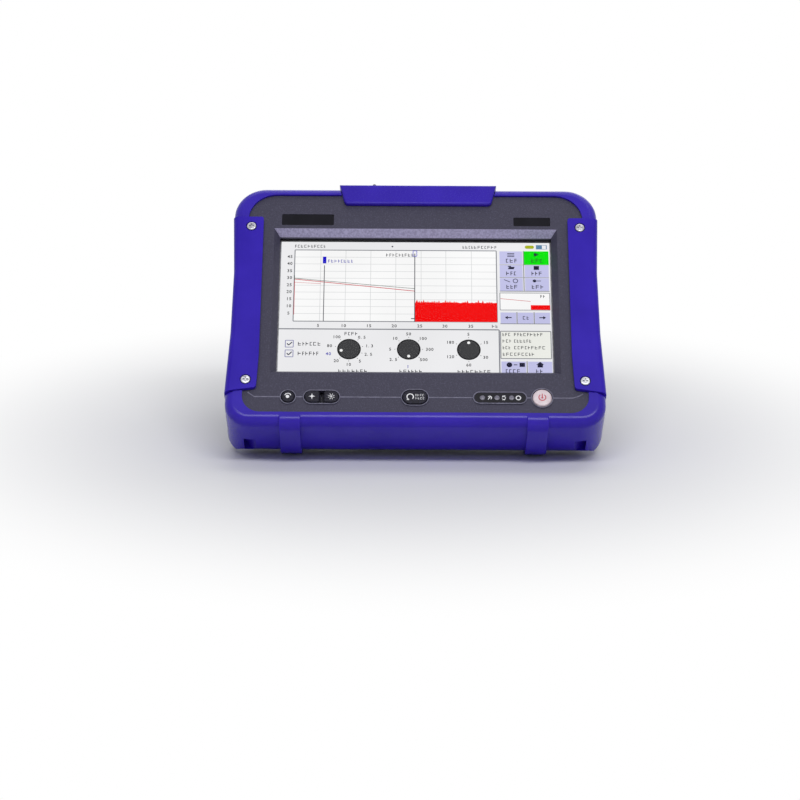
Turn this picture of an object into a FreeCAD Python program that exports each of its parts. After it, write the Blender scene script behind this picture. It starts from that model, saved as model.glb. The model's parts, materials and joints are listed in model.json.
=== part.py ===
"""Handheld optical time domain reflectometer, leaning back on its kickstand.

Every sub-part is drawn upright: X to the right, Y into the case from its front face, Z up the
face. Each one then leans back about X, so that the heel pads and the stand rest on Z = 0.
"""
import FreeCAD, Part
import math
import operator
import os
import sys
from types import SimpleNamespace

import Sketcher

Vector = FreeCAD.Vector
doc = FreeCAD.newDocument("otdr")

# ---------------------------------------------------------------- driving dimensions (mm, degrees)

DIMENSIONS = {
    # how it stands
    "lean": 44,
    # bumper: outline of the whole instrument
    "bumper_top_half": 102.8,
    "bumper_flare": 1.4,
    "bumper_base": 2.4,
    "bumper_top": 156.5,
    "bumper_top_round": 18,
    "bumper_low_round": 14,
    "bumper_back": 9,
    "edge_round": 5,
    "back_edge_round": 3,
    "lip": 1.4,
    "lip_cover": 1.6,
    "fit": 0.05,
    "clearance": 0.3,
    "pin_run": 0.06,
    # case: front panel seen inside the bumper's lip
    "depth": 47,
    "heel_round": 24,
    "panel_side": 8.2,
    "panel_foot": 6.8,
    "panel_head": 5.5,
    "panel_top_round": 16,
    "panel_low_round": 10,
    "split": 21,
    "wall": 2.4,
    "front_wall": 2.6,
    # display, set in from the panel's edges
    "bevel_side": 14.6,
    "bevel_foot": 25.4,
    "bevel_head": 22,
    "bevel_depth": 4.5,
    "bevel_run": 3.2,
    "glass_step": 1.5,
    "glass_thick": 1.1,
    "glass_edge": 3.6,
    "lcd_past_bevel": 2.5,
    "lcd_past_bevel_tall": 2.8,
    "lcd_thick": 5.6,
    "lcd_frame_edge": 4,
    # bare recesses for two name plates, above the display
    "plate_gap": 2.2,
    "plate_recess": 0.4,
    "left_plate_inset": 4.1,
    "left_plate_wide": 29.5,
    "left_plate_tall": 7.4,
    "right_plate_inset": 3.6,
    "right_plate_wide": 20.9,
    "right_plate_tall": 5.8,
    # grips
    "grip_head": 21.3,
    "grip_foot": 21.7,
    "grip_drop": 2.6,
    "grip_over": 8.5,
    "grip_proud": 2.4,
    "grip_wall": 3.1,
    "grip_waist": 1.8,
    "grip_screw_in": 1.7,
    "grip_screw_foot": 4.8,
    "grip_screw_head": 6.3,
    "grip_screw_well": 1.3,
    # heel pads, their middles set in from the bumper's sides
    "heel_pad_wide": 11.8,
    "left_heel_inset": 34.6,
    "right_heel_inset": 36.2,
    "heel_pad_high": 17,
    # keys
    "key_row_foot": 9.9,
    "key_gap": 0.35,
    "key_proud": 0.6,
    "key_travel": 0.7,
    "key_flange": 0.9,
    "key_flange_thick": 1,
    "rim_wide": 0.4,
    "rim_proud": 0.5,
    "menu_inset": 33.3,
    "menu_round": 3.65,
    "pair_from_menu": 18.4,
    "pair_half": 9.4,
    "pair_tall": 7.2,
    "pair_space": 2.2,
    "start_middle": -0.2,
    "start_half": 6.85,
    "start_tall": 8.8,
    "power_inset": 33.6,
    "power_round": 5.3,
    "lamp_from_power": 23,
    "lamp_half": 14,
    "lamp_tall": 6,
    "lamp_step": 7,
    "mat_thick": 1.2,
    "keypad_half_tall": 6.6,
    # connector bay and its cover
    "bay_left": -41,
    "bay_right": 43.6,
    "bay_front": 3.2,
    "bay_behind_split": 5.4,
    "bay_deep": 19.5,
    "ledge": 1.6,
    "ledge_wide": 4,
    "socket_tall": 8.8,
    "plate_thick": 1.2,
    "collar_below_top": 1.4,
    "collar_wall": 1.6,
    "cover_above_top": 0.9,
    "cover_skirt_tall": 13.1,
    "cover_slant": 3.2,
    "cover_thick": 2,
    "cover_skirt": 2.3,
    "cover_side": 2.4,
    "hinge_from_split": 1.4,
    "hinge_below_top": 1.6,
    "hinge_round": 2,
    "hinge_pin": 1,
    "lug_long": 5.6,
    # optical ports
    "port_behind_split": 8.6,
    "port_deep": 9,
    "port_recess_half": 5.8,
    "port_recess_inset": 5,
    "outer_port_inset": 12,
    "meter_port": 3,
    "ferrule_bore": 1.25,
    "thread_round": 3.2,
    "flange_round": 5.3,
    "flange_thick": 1.6,
    "barrel_round": 4,
    "barrel_tall": 9,
    "cap_round": 5,
    "cap_tall": 15,
    "nub_round": 1.1,
    "nub_tall": 16.6,
    # kickstand
    "stand_half_below_door": 14,
    "stand_long": 72,
    "stand_thick": 3.6,
    "stand_barrel": 2.4,
    "stand_pin": 1.25,
    "stand_pin_long": 14,
    "stand_foot_round": 2.4,
    "stand_margin": 5.5,
    "tub_cheek": 5.2,
    "tub_wall": 1.6,
    # battery and its door
    "door_half": 50,
    "door_foot": 2.1,
    "door_head": 7,
    "door_thick": 2.4,
    "battery_edge": 4,
    "battery_end": 5.5,
    "battery_gap": 5.6,
    "board_thick": 1.6,
    # screws and posts of the case
    "case_screw_in": 6.1,
    "case_screw_foot": 33.6,
    "case_screw_head": 16.5,
    "screw_head": 2.7,
    "screw_head_tall": 1.6,
    "screw_shank": 1.5,
    "grip_screw_long": 13,
    "case_screw_long": 30,
    "door_screw_head": 2.2,
    "door_screw_shank": 1.2,
    "door_screw_long": 4,
    "door_screw_in": 3.5,
    "post_round": 3.2,
    "bracket_post_round": 2.6,
    "bracket_post_rise": 34,
    "keypad_post_round": 2.4,
    "keypad_post_gap": 5.2,
    "rear_foot_inset": 24.8,
    "rear_foot_foot": 41.6,
    "rear_foot_head": 26.5,
    "rear_foot_round": 6,
    "rear_foot_proud": 1.4,
    # boxes inside
    "module_past_door": 4.5,
    "module_in": 4.6,
    "module_head": 28.5,
    "otdr_tall": 66,
    "meter_tall": 42,
    "otdr_behind_split": 4,
    "meter_behind_split": 8,
    "speaker_in": 18,
    "speaker_rise": 55.6,
    "speaker_round": 13,
    "speaker_thick": 5,
    # straps
    "strap_front": 18,
    "strap_wide": 14,
    "strap_gap": 4.2,
    "strap_bar": 1.8,
}

sheet = doc.addObject("Spreadsheet::Sheet", "dims")
for row, (alias, number) in enumerate(DIMENSIONS.items(), start=1):
    sheet.set(f"A{row}", alias)
    sheet.set(f"B{row}", str(number))
    sheet.setAlias(f"B{row}", alias)
doc.recompute()

OPERATIONS = {"+": operator.add, "-": operator.sub, "*": operator.mul, "/": operator.truediv}


class Size:
    """A length or an angle: its number, and the sheet expression that gives it."""

    def __init__(self, text, number):
        self.text = text
        self.number = number

    def __add__(self, other):
        return combine(self, "+", other)

    def __radd__(self, other):
        return combine(other, "+", self)

    def __sub__(self, other):
        return combine(self, "-", other)

    def __rsub__(self, other):
        return combine(other, "-", self)

    def __mul__(self, other):
        return combine(self, "*", other)

    def __rmul__(self, other):
        return combine(other, "*", self)

    def __truediv__(self, other):
        return combine(self, "/", other)

    def __neg__(self):
        return combine(0, "-", self)


def size(value):
    """A Size from a Size or a plain number."""
    if isinstance(value, Size):
        return value
    return Size(f"({float(value)})", float(value))


def combine(left, sign, right):
    left = size(left)
    right = size(right)
    number = OPERATIONS[sign](left.number, right.number)
    return Size(f"({left.text} {sign} {right.text})", number)


def sine(angle):
    return Size(f"sin({angle.text})", math.sin(math.radians(angle.number)))


def cosine(angle):
    return Size(f"cos({angle.text})", math.cos(math.radians(angle.number)))


def arc_cosine(ratio):
    return Size(f"(acos({ratio.text}) / 1 deg)", math.degrees(math.acos(ratio.number)))


d = SimpleNamespace(**{alias: Size(f"dims.{alias}", float(number))
                       for alias, number in DIMENSIONS.items()})

# ---------------------------------------------------------------- places that follow from those

d.bumper_low_half = d.bumper_top_half + d.bumper_flare
d.bumper_depth = d.depth - d.bumper_back
d.panel_half = d.bumper_top_half - d.panel_side
d.panel_low = d.bumper_base + d.panel_foot
d.panel_high = d.bumper_top - d.panel_head
d.bevel_half = d.panel_half - d.bevel_side
d.bevel_low = d.panel_low + d.bevel_foot
d.bevel_high = d.panel_high - d.bevel_head
d.glass_depth = d.bevel_depth + d.glass_step
d.lcd_half = d.bevel_half + d.lcd_past_bevel
d.lcd_half_tall = (d.bevel_high - d.bevel_low) / 2 + d.lcd_past_bevel_tall
d.grip_high = d.bumper_top - d.grip_head
d.grip_low = d.bumper_base + d.grip_foot
d.grip_inner = d.panel_half - d.grip_over
d.grip_screw_half = d.panel_half - d.grip_screw_in
d.grip_screw_low = d.grip_low + d.grip_screw_foot
d.grip_screw_high = d.grip_high - d.grip_screw_head
d.heel_pad_left = d.left_heel_inset - d.bumper_top_half
d.heel_pad_right = d.bumper_top_half - d.right_heel_inset
d.key_row = d.panel_low + d.key_row_foot
d.menu_middle = d.menu_inset - d.bumper_top_half
d.pair_middle = d.menu_middle + d.pair_from_menu
d.power_middle = d.bumper_top_half - d.power_inset
d.lamp_middle = d.power_middle - d.lamp_from_power
d.keypad_post_half = d.lamp_middle - d.lamp_half - d.keypad_post_gap
d.bay_back = d.split - d.bay_behind_split
d.bay_floor = d.bumper_top - d.bay_deep
d.collar_high = d.bumper_top - d.collar_below_top
d.cover_top = d.bumper_top + d.cover_above_top
d.cover_low = d.cover_top - d.cover_skirt_tall
d.hinge_depth = d.split - d.hinge_from_split
d.hinge_high = d.bumper_top - d.hinge_below_top
d.port_row = d.split + d.port_behind_split
d.port_floor = d.bumper_top - d.port_deep
d.port_left = d.bay_left + d.port_recess_inset
d.port_right = d.bay_right - d.port_recess_inset
d.otdr_port = d.port_left + d.outer_port_inset
d.laser_port = d.port_right - d.outer_port_inset
d.cap_top = d.port_floor + d.cap_tall
d.nub_top = d.cap_top + d.nub_tall
d.door_low = d.bumper_base + d.heel_round + d.door_foot
d.stand_half = d.door_half - d.stand_half_below_door
d.stand_depth = d.depth - d.stand_barrel
d.stand_high = d.door_low + d.stand_margin + d.stand_long
d.door_high = d.stand_high + d.door_head
d.door_screw_half = d.door_half - d.door_screw_in
d.battery_half = d.stand_half + d.battery_edge
d.battery_low = d.door_low + d.battery_end
d.battery_high = d.stand_high - d.stand_barrel + 0.4
d.case_screw_half = d.panel_half - d.case_screw_in
d.case_screw_low = d.bumper_base + d.case_screw_foot
d.case_screw_high = d.bumper_top - d.case_screw_head
d.rear_foot_half = d.bumper_top_half - d.rear_foot_inset
d.rear_foot_low = d.bumper_base + d.rear_foot_foot
d.rear_foot_high = d.bumper_top - d.rear_foot_head
d.module_inner = d.door_half + d.module_past_door
d.module_outer = d.panel_half - d.module_in
d.module_high = d.bumper_top - d.module_head
d.otdr_low = d.module_high - d.otdr_tall
d.meter_low = d.module_high - d.meter_tall
d.otdr_front = d.split + d.otdr_behind_split
d.meter_front = d.split + d.meter_behind_split
d.speaker_middle = d.module_outer - d.speaker_in
d.speaker_high = d.bumper_base + d.speaker_rise

# ---------------------------------------------------------------- sketches and features

PLANE_ROLES = {"XY": "XY_Plane", "XZ": "XZ_Plane", "YZ": "YZ_Plane"}
PLANE_NORMALS = {"XY": 1, "XZ": -1, "YZ": 1}
ORIGIN_POINT = (-1, 1)
parts = []


def bind(thing, where, value):
    """Set a property of an object from a size, and keep it bound to the sheet."""
    thing.setExpression(where, size(value).text)


def constrain(sketch, kind, *geometry, value=None):
    """Add one constraint to a sketch, bound to the sheet when it has a value."""
    if value is None:
        sketch.addConstraint(Sketcher.Constraint(kind, *geometry))
        return
    number = size(value).number
    index = sketch.addConstraint(Sketcher.Constraint(kind, *geometry, number))
    bind(sketch, f"Constraints[{index}]", value)


def hold(sketch, element, point, across, up):
    """Hold one point of a sketch element at its place."""
    constrain(sketch, "DistanceX", *ORIGIN_POINT, element, point, value=across)
    constrain(sketch, "DistanceY", *ORIGIN_POINT, element, point, value=up)


def disc(across, up, radius):
    """A circle."""
    def draw(sketch):
        centre = Vector(size(across).number, size(up).number, 0)
        circle = Part.Circle(centre, Vector(0, 0, 1), size(radius).number)
        element = sketch.addGeometry(circle, False)
        hold(sketch, element, 3, across, up)
        constrain(sketch, "Radius", element, value=radius)
    return draw


def pill(across, up, half, radius):
    """A level slot with round ends, half as long as it reaches from its middle."""
    def draw(sketch):
        reach = size(half - radius)
        r = size(radius).number
        x = size(across).number
        y = size(up).number
        step = reach.number
        normal = Vector(0, 0, 1)
        right = sketch.addGeometry(Part.ArcOfCircle(
            Part.Circle(Vector(x + step, y, 0), normal, r), -math.pi / 2, math.pi / 2), False)
        left = sketch.addGeometry(Part.ArcOfCircle(
            Part.Circle(Vector(x - step, y, 0), normal, r), math.pi / 2, 3 * math.pi / 2), False)
        top = sketch.addGeometry(
            Part.LineSegment(Vector(x + step, y + r, 0), Vector(x - step, y + r, 0)), False)
        low = sketch.addGeometry(
            Part.LineSegment(Vector(x - step, y - r, 0), Vector(x + step, y - r, 0)), False)
        constrain(sketch, "Tangent", right, 2, top, 1)
        constrain(sketch, "Tangent", top, 2, left, 1)
        constrain(sketch, "Tangent", left, 2, low, 1)
        constrain(sketch, "Tangent", low, 2, right, 1)
        hold(sketch, right, 3, across + reach, up)
        hold(sketch, left, 3, across - reach, up)
        constrain(sketch, "Equal", right, left)
        constrain(sketch, "Radius", right, value=radius)
    return draw


def outline(*corners):
    """A closed outline through (across, up) or (across, up, round) corners."""
    def draw(sketch):
        count = len(corners)
        points = [Vector(size(c[0]).number, size(c[1]).number, 0) for c in corners]
        rounds = [size(c[2]) if len(c) > 2 else None for c in corners]
        entries = []
        leaves = []
        centres = []
        for i, point in enumerate(points):
            back = (points[i - 1] - point).normalize()
            ahead = (points[(i + 1) % count] - point).normalize()
            if rounds[i] is None:
                entries.append(point)
                leaves.append(point)
                centres.append(None)
                continue
            half = back.getAngle(ahead) / 2
            run = rounds[i].number / math.tan(half)
            entries.append(point + back * run)
            leaves.append(point + ahead * run)
            middle = (back + ahead).normalize()
            centres.append(point + middle * (rounds[i].number / math.sin(half)))
        lines = [sketch.addGeometry(Part.LineSegment(leaves[i], entries[(i + 1) % count]), False)
                 for i in range(count)]
        for i, point in enumerate(points):
            before = lines[i - 1]
            after = lines[i]
            if rounds[i] is None:
                constrain(sketch, "Coincident", before, 2, after, 1)
                hold(sketch, after, 1, corners[i][0], corners[i][1])
                continue
            first = entries[i] - centres[i]
            last = leaves[i] - centres[i]
            turns_left = first.cross(last).z > 0
            if not turns_left:
                first, last = last, first
            circle = Part.Circle(centres[i], Vector(0, 0, 1), rounds[i].number)
            start = math.atan2(first.y, first.x)
            end = math.atan2(last.y, last.x)
            arc = sketch.addGeometry(Part.ArcOfCircle(circle, start, end), False)
            tip = sketch.addGeometry(Part.Point(point), True)
            near, far = (1, 2) if turns_left else (2, 1)
            constrain(sketch, "Tangent", before, 2, arc, near)
            constrain(sketch, "Tangent", arc, far, after, 1)
            constrain(sketch, "PointOnObject", tip, 1, before)
            constrain(sketch, "PointOnObject", tip, 1, after)
            constrain(sketch, "Radius", arc, value=rounds[i])
            hold(sketch, tip, 1, corners[i][0], corners[i][1])
    return draw


def rectangle(left, right, low, high, radius=None):
    """An upright rectangle, with its corners rounded where a radius is given."""
    corners = [(left, low), (right, low), (right, high), (left, high)]
    if radius is not None:
        corners = [(across, up, radius) for across, up in corners]
    return outline(*corners)


def mirrored(corners):
    """The same corners on the other side of X = 0."""
    return [(-corner[0], *corner[1:]) for corner in corners]


def new_body(name):
    body = doc.addObject("PartDesign::Body", name)
    body.Label = name
    parts.append(body)
    return body


def new_sketch(body, what, plane, place, wires):
    """A sketch on one of the body's origin planes, moved along its axis to place."""
    sketch = body.newObject("Sketcher::SketchObject", f"{body.Name}_{what}_sketch")
    role = PLANE_ROLES[plane]
    origin_plane = next(f for f in body.Origin.OriginFeatures if f.Role == role)
    sketch.AttachmentSupport = [(origin_plane, "")]
    sketch.MapMode = "FlatFace"
    bind(sketch, "AttachmentOffset.Base.z", size(place) * PLANE_NORMALS[plane])
    for wire in wires:
        wire(sketch)
    return sketch


def pad(body, what, plane, start, end, *wires):
    """Add material from start to end along the plane's axis (X, Y or Z)."""
    sketch = new_sketch(body, what, plane, start, wires)
    feature = body.newObject("PartDesign::Pad", f"{body.Name}_{what}")
    feature.Profile = sketch
    feature.Reversed = plane == "XZ"
    bind(feature, "Length", size(end) - start)
    return feature


def pocket(body, what, plane, start, end, *wires):
    """Cut material from start to end along the plane's axis (X, Y or Z)."""
    before = body.Tip
    sketch = new_sketch(body, what, plane, start, wires)
    feature = body.newObject("PartDesign::Pocket", f"{body.Name}_{what}")
    feature.Profile = sketch
    feature.Reversed = plane != "XZ"
    bind(feature, "Length", size(end) - start)
    doc.recompute()
    if feature.Shape.isNull() or feature.Shape.Volume > before.Shape.Volume - 1e-6:
        sys.exit(f"{feature.Name} cuts nothing")
    return feature


def edge_names(body, keep):
    doc.recompute()
    return [f"Edge{i}" for i, edge in enumerate(body.Tip.Shape.Edges, start=1) if keep(edge)]


def fillet(body, what, radius, keep):
    """Round the edges that keep chooses."""
    names = edge_names(body, keep)
    base = body.Tip
    feature = body.newObject("PartDesign::Fillet", f"{body.Name}_{what}")
    feature.Base = (base, names)
    bind(feature, "Radius", radius)
    return feature


def chamfer(body, what, length, keep):
    """Bevel the edges that keep chooses."""
    names = edge_names(body, keep)
    base = body.Tip
    feature = body.newObject("PartDesign::Chamfer", f"{body.Name}_{what}")
    feature.Base = (base, names)
    bind(feature, "Size", length)
    return feature


def turn(body, what, across, deep, corners):
    """Revolve a half profile of (radius, height) corners about a standing axis."""
    sketch = new_sketch(body, what, "XZ", deep, [])
    bind(sketch, "AttachmentOffset.Base.x", across)
    outline(*corners)(sketch)
    feature = body.newObject("PartDesign::Revolution", f"{body.Name}_{what}")
    feature.Profile = sketch
    feature.ReferenceAxis = (sketch, ["V_Axis"])
    feature.Angle = 360
    return feature


def near(value, target, tolerance=0.02):
    return abs(value - size(target).number) < tolerance


def at_depth(y):
    """Chooses the edges that lie at one depth."""
    return lambda edge: near(edge.BoundBox.YMin, y) and near(edge.BoundBox.YMax, y)


def at_height(z):
    """Chooses the edges that lie at one height."""
    return lambda edge: near(edge.BoundBox.ZMin, z) and near(edge.BoundBox.ZMax, z)


# ---------------------------------------------------------------- shared outlines

case_half = d.panel_half + d.lip_cover
case_low = d.panel_low - d.lip_cover
case_high = d.panel_high + d.lip_cover
case_top_round = d.panel_top_round + d.lip_cover
case_low_round = d.panel_low_round + d.lip_cover


def case_outline(inset):
    """The case's outline in the front view, drawn in by inset."""
    low_round = case_low_round - inset
    top_round = case_top_round - inset
    left = inset - case_half
    right = case_half - inset
    low = case_low + inset
    high = case_high - inset
    return outline((left, low, low_round), (right, low, low_round),
                   (right, high, top_round), (left, high, top_round))


def heel_cut(base):
    """The side view of what the rounded heel leaves away below and behind the case."""
    front = d.depth - d.heel_round - 6
    below = base - 8
    behind = d.depth + 8
    return outline((front, below), (behind, below), (behind, base + d.heel_round + 6),
                   (d.depth, base + d.heel_round + 6), (d.depth, base, d.heel_round),
                   (front, base))


grip_middle = (d.grip_low + d.grip_high) / 2
grip_corners = [
    (d.grip_inner, d.grip_high, 1.5),
    (d.grip_inner, d.grip_low + 21, 40),
    (d.grip_inner + 1, d.grip_low, 2),
    (d.bumper_low_half + 0.2, d.grip_low - d.grip_drop),
    (d.bumper_low_half - d.grip_waist, grip_middle - 20, 60),
    (d.bumper_low_half - d.grip_waist - 0.5, grip_middle + 20, 60),
    (d.bumper_top_half + 0.5, d.grip_high),
]
grip_side = d.bumper_top_half - d.grip_wall
well_round = d.screw_head + 0.4

screw_places = [(side * d.grip_screw_half, height)
                for side in (-1, 1) for height in (d.grip_screw_low, d.grip_screw_high)]

# ---------------------------------------------------------------- bumper: one soft ring

bumper = new_body("bumper_frame")
pad(bumper, "ring", "XZ", -d.lip, d.bumper_depth,
    outline((-d.bumper_low_half, d.bumper_base, d.bumper_low_round),
            (d.bumper_low_half, d.bumper_base, d.bumper_low_round),
            (d.bumper_top_half, d.bumper_top, d.bumper_top_round),
            (-d.bumper_top_half, d.bumper_top, d.bumper_top_round)))
fillet(bumper, "front_round", d.edge_round, at_depth(-d.lip))
fillet(bumper, "back_round", d.back_edge_round, at_depth(d.bumper_depth))
pocket(bumper, "case_seat", "XZ", 0 - d.fit, d.bumper_depth, case_outline(-d.fit))
pocket(bumper, "window", "XZ", -d.lip, 1, case_outline(d.lip_cover))
pocket(bumper, "heel", "YZ", -d.bumper_low_half - 5, d.bumper_low_half + 5,
       heel_cut(d.bumper_base))

# notches for the grips: their outline at the front, a flat seat along the sides
wide = d.bumper_low_half + 8
notch = [
    (d.panel_half - 4, d.grip_high + d.fit), (wide, d.grip_high + d.fit),
    (wide, d.grip_low - d.grip_drop - d.fit - 0.6), (d.panel_half - 4, d.grip_low - d.fit - 1.1),
]
pocket(bumper, "grip_front", "XZ", -d.lip - 1, 0, outline(*notch), outline(*mirrored(notch)))
seat = [
    (grip_side - d.fit, d.grip_high + d.fit), (wide, d.grip_high + d.fit),
    (wide, d.grip_low - d.grip_drop - d.fit - 0.6), (grip_side - d.fit, d.grip_low - d.grip_drop),
]
pocket(bumper, "grip_side", "XZ", -d.lip - 1, d.bumper_depth + 1,
       outline(*seat), outline(*mirrored(seat)))

# slots for a carrying strap across both low corners
corner_x = d.bumper_low_half - d.bumper_low_round
corner_z = d.bumper_base + d.bumper_low_round
outer_chord = (d.bumper_low_round - d.strap_bar) * math.sqrt(2)
inner_chord = (d.bumper_low_round - d.strap_bar - d.strap_gap) * math.sqrt(2)
strap = [
    (corner_x + inner_chord + 20, corner_z + 20), (corner_x + inner_chord - 20, corner_z - 20),
    (corner_x + outer_chord - 20, corner_z - 20), (corner_x + outer_chord + 20, corner_z + 20),
]
pocket(bumper, "strap_slots", "XZ", d.strap_front, d.strap_front + d.strap_wide,
       outline(*strap), outline(*mirrored(strap)))

# notch for the connector cover and recess for the optical ports
cover_left = d.bay_left - d.cover_side
cover_right = d.bay_right + d.cover_side
side_gap = d.clearance + 0.1


def cover_outline(grow):
    """The cover's slanted front outline, grown by grow."""
    return [
        (cover_left + d.cover_slant - grow, d.cover_low - grow),
        (cover_right - d.cover_slant + grow, d.cover_low - grow),
        (cover_right + grow, d.cover_top + grow),
        (cover_left - grow, d.cover_top + grow),
    ]


pocket(bumper, "cover_notch", "XZ", -d.lip - 1, d.hinge_depth + d.hinge_round + d.clearance,
       outline(*cover_outline(side_gap)))
pocket(bumper, "collar_notch", "XY", case_high - 1, d.bumper_top + 1, rectangle(
    d.bay_left - d.wall - d.fit, d.bay_right + d.wall + d.fit,
    d.bay_front - 2 - d.fit, d.bay_back + d.collar_wall + d.fit))
pocket(bumper, "port_notch", "XY", d.port_floor, d.bumper_top + 1, rectangle(
    d.port_left, d.port_right, d.port_row - d.port_recess_half, d.port_row + d.port_recess_half,
    4))

# ---------------------------------------------------------------- grips

for side, name in ((-1, "left_grip"), (1, "right_grip")):
    grip = new_body(name)
    shape = grip_corners if side > 0 else mirrored(grip_corners)
    pad(grip, "block", "XZ", -d.grip_proud, d.bumper_depth, outline(*shape))
    outer = size(grip_side).number
    fillet(grip, "front_round", 3, lambda edge: at_depth(-d.grip_proud)(edge)
           and abs(edge.CenterOfMass.x) > outer + 0.5 and edge.BoundBox.ZLength > 5)
    below = d.grip_low - 2 * d.grip_drop
    above = d.grip_high + d.grip_drop
    inner = [(grip_side * side, below), ((d.grip_inner - d.grip_wall) * side, below),
             ((d.grip_inner - d.grip_wall) * side, above), (grip_side * side, above)]
    pocket(grip, "case_seat", "XZ", 0 - d.fit, d.bumper_depth + 1, outline(*inner))
    holes = screw_places[:2] if side < 0 else screw_places[2:]
    pocket(grip, "screw_wells", "XZ", -d.grip_proud, d.grip_screw_well - d.grip_proud,
           *[disc(x, z, well_round) for x, z in holes])
    pocket(grip, "screw_holes", "XZ", -d.grip_proud, 1,
           *[disc(x, z, d.screw_shank + 0.1) for x, z in holes])

# ---------------------------------------------------------------- heel pads

heel_pad_proud = d.bumper_base
for middle, name in ((d.heel_pad_left, "left_heel_pad"), (d.heel_pad_right, "right_heel_pad")):
    heel = new_body(name)
    back = d.depth + heel_pad_proud
    pad(heel, "strip", "YZ", middle - d.heel_pad_wide / 2, middle + d.heel_pad_wide / 2, outline(
        (-d.lip - 0.8, d.panel_low - 2.6), (-d.lip - 0.8, 0, d.edge_round + 1),
        (back, 0, d.heel_round + heel_pad_proud), (back, d.heel_round + 10),
        (d.depth, d.heel_round + 10), (d.depth, d.bumper_base, d.heel_round),
        (-d.lip, d.bumper_base, d.edge_round), (-d.lip, d.panel_low - 2.6)))
    pocket(heel, "top_cut", "XY", d.heel_pad_high, d.heel_round + 20, rectangle(
        middle - d.heel_pad_wide, middle + d.heel_pad_wide, d.depth - d.heel_round - 3, back + 5))
    fillet(heel, "side_round", 0.7, lambda edge: edge.BoundBox.YLength > 20
           and edge.BoundBox.XLength < 0.1 and near(edge.BoundBox.ZMin, 0, 0.05))

# ---------------------------------------------------------------- front bezel

bezel = new_body("front_bezel")
pad(bezel, "block", "XZ", 0, d.split, case_outline(size(0)))
frame_back = d.glass_depth + 2.2
frame_half = d.bevel_half + d.lcd_frame_edge
frame_low = d.bevel_low - d.lcd_frame_edge + 0.6
frame_high = d.bevel_high + d.lcd_frame_edge
inside_half = case_half - d.wall
inside_low = case_low + d.wall
inside_high = case_high - d.wall
bay_side_left = d.bay_left - d.wall
bay_side_right = d.bay_right + d.wall
bay_under = d.bay_floor - d.wall
room = outline(
    (-inside_half, inside_low, case_low_round - d.wall),
    (inside_half, inside_low, case_low_round - d.wall),
    (inside_half, inside_high, case_top_round - d.wall), (bay_side_right, inside_high),
    (bay_side_right, bay_under), (bay_side_left, bay_under), (bay_side_left, inside_high),
    (-inside_half, inside_high, case_top_round - d.wall))
pocket(bezel, "cavity", "XZ", frame_back, d.split, room)
pocket(bezel, "front_cavity", "XZ", d.front_wall, frame_back, room,
       rectangle(-frame_half, frame_half, frame_low, frame_high))

# display opening: a loft for the bevel, a straight step, and a seat for the glass behind it
front_edge = new_sketch(bezel, "bevel_front", "XZ", size(0), [
    rectangle(-d.bevel_half, d.bevel_half, d.bevel_low, d.bevel_high)])
view_half = d.bevel_half - d.bevel_run
view_low = d.bevel_low + d.bevel_run
view_high = d.bevel_high - d.bevel_run
back_edge = new_sketch(bezel, "bevel_back", "XZ", d.bevel_depth, [
    rectangle(-view_half, view_half, view_low, view_high)])
bevel = bezel.newObject("PartDesign::SubtractiveLoft", "front_bezel_bevel")
bevel.Profile = front_edge
bevel.Sections = [back_edge]
bevel.Ruled = True
pocket(bezel, "step", "XZ", d.bevel_depth, d.split,
       rectangle(-view_half, view_half, view_low, view_high))
glass_half = view_half + d.glass_edge
glass_low = view_low - d.glass_edge
glass_high = view_high + d.glass_edge
pocket(bezel, "glass_seat", "XZ", d.glass_depth, d.split, rectangle(
    -glass_half - d.fit, glass_half + d.fit, glass_low - d.fit, glass_high + d.fit))

# connector bay with its raised collar, and lugs for the cover's pin
pad(bezel, "collar", "XY", case_high - 0.5, d.collar_high, rectangle(
    bay_side_left, bay_side_right, d.bay_front - 2, d.bay_back + d.collar_wall))
pocket(bezel, "bay", "XY", d.bay_floor, d.collar_high + 1, rectangle(
    d.bay_left, d.bay_right, d.bay_front, d.bay_back, 1.5))
pad(bezel, "bay_ledges", "XY", d.bay_floor, d.bay_floor + d.ledge + d.socket_tall, rectangle(
    d.bay_left - 1, d.bay_left + d.ledge_wide, d.bay_front - 1, d.bay_back + 1), rectangle(
    d.bay_right - d.ledge_wide, d.bay_right + 1, d.bay_front - 1, d.bay_back + 1))
lug_left = d.bay_left + 1
lug_right = d.bay_right - 1
for start, end, name in ((lug_left, lug_left + d.lug_long, "left_lug"),
                         (lug_right - d.lug_long, lug_right, "right_lug")):
    pad(bezel, name, "YZ", start, end, outline(
        (d.bay_back + 2.2, case_high - 1), (d.split, case_high - 1),
        (d.split, d.hinge_high + 1.4, 1.3), (d.bay_back + 2.2, d.hinge_high + 1.4, 1.3)))
pocket(bezel, "pin_bore", "YZ", lug_left - 5, lug_right + 5,
       disc(d.hinge_depth, d.hinge_high, d.hinge_pin))

# key holes with raised rims
menu_hole = d.menu_round + d.key_gap
pair_hole_half = d.pair_half + d.key_gap
pair_hole_round = d.pair_tall / 2 + d.key_gap
start_hole_half = d.start_half + d.key_gap
start_hole_round = d.start_tall / 2 + d.key_gap
power_hole = d.power_round + d.key_gap
lamp_hole_half = d.lamp_half + d.fit
lamp_hole_round = d.lamp_tall / 2 + d.fit


def key_wells(grow):
    """The outlines of the key holes, grown by grow."""
    return [
        disc(d.menu_middle, d.key_row, menu_hole + grow),
        pill(d.pair_middle, d.key_row, pair_hole_half + grow, pair_hole_round + grow),
        pill(d.start_middle, d.key_row, start_hole_half + grow, start_hole_round + grow),
        disc(d.power_middle, d.key_row, power_hole + grow),
        pill(d.lamp_middle, d.key_row, lamp_hole_half + grow, lamp_hole_round + grow),
    ]


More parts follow.
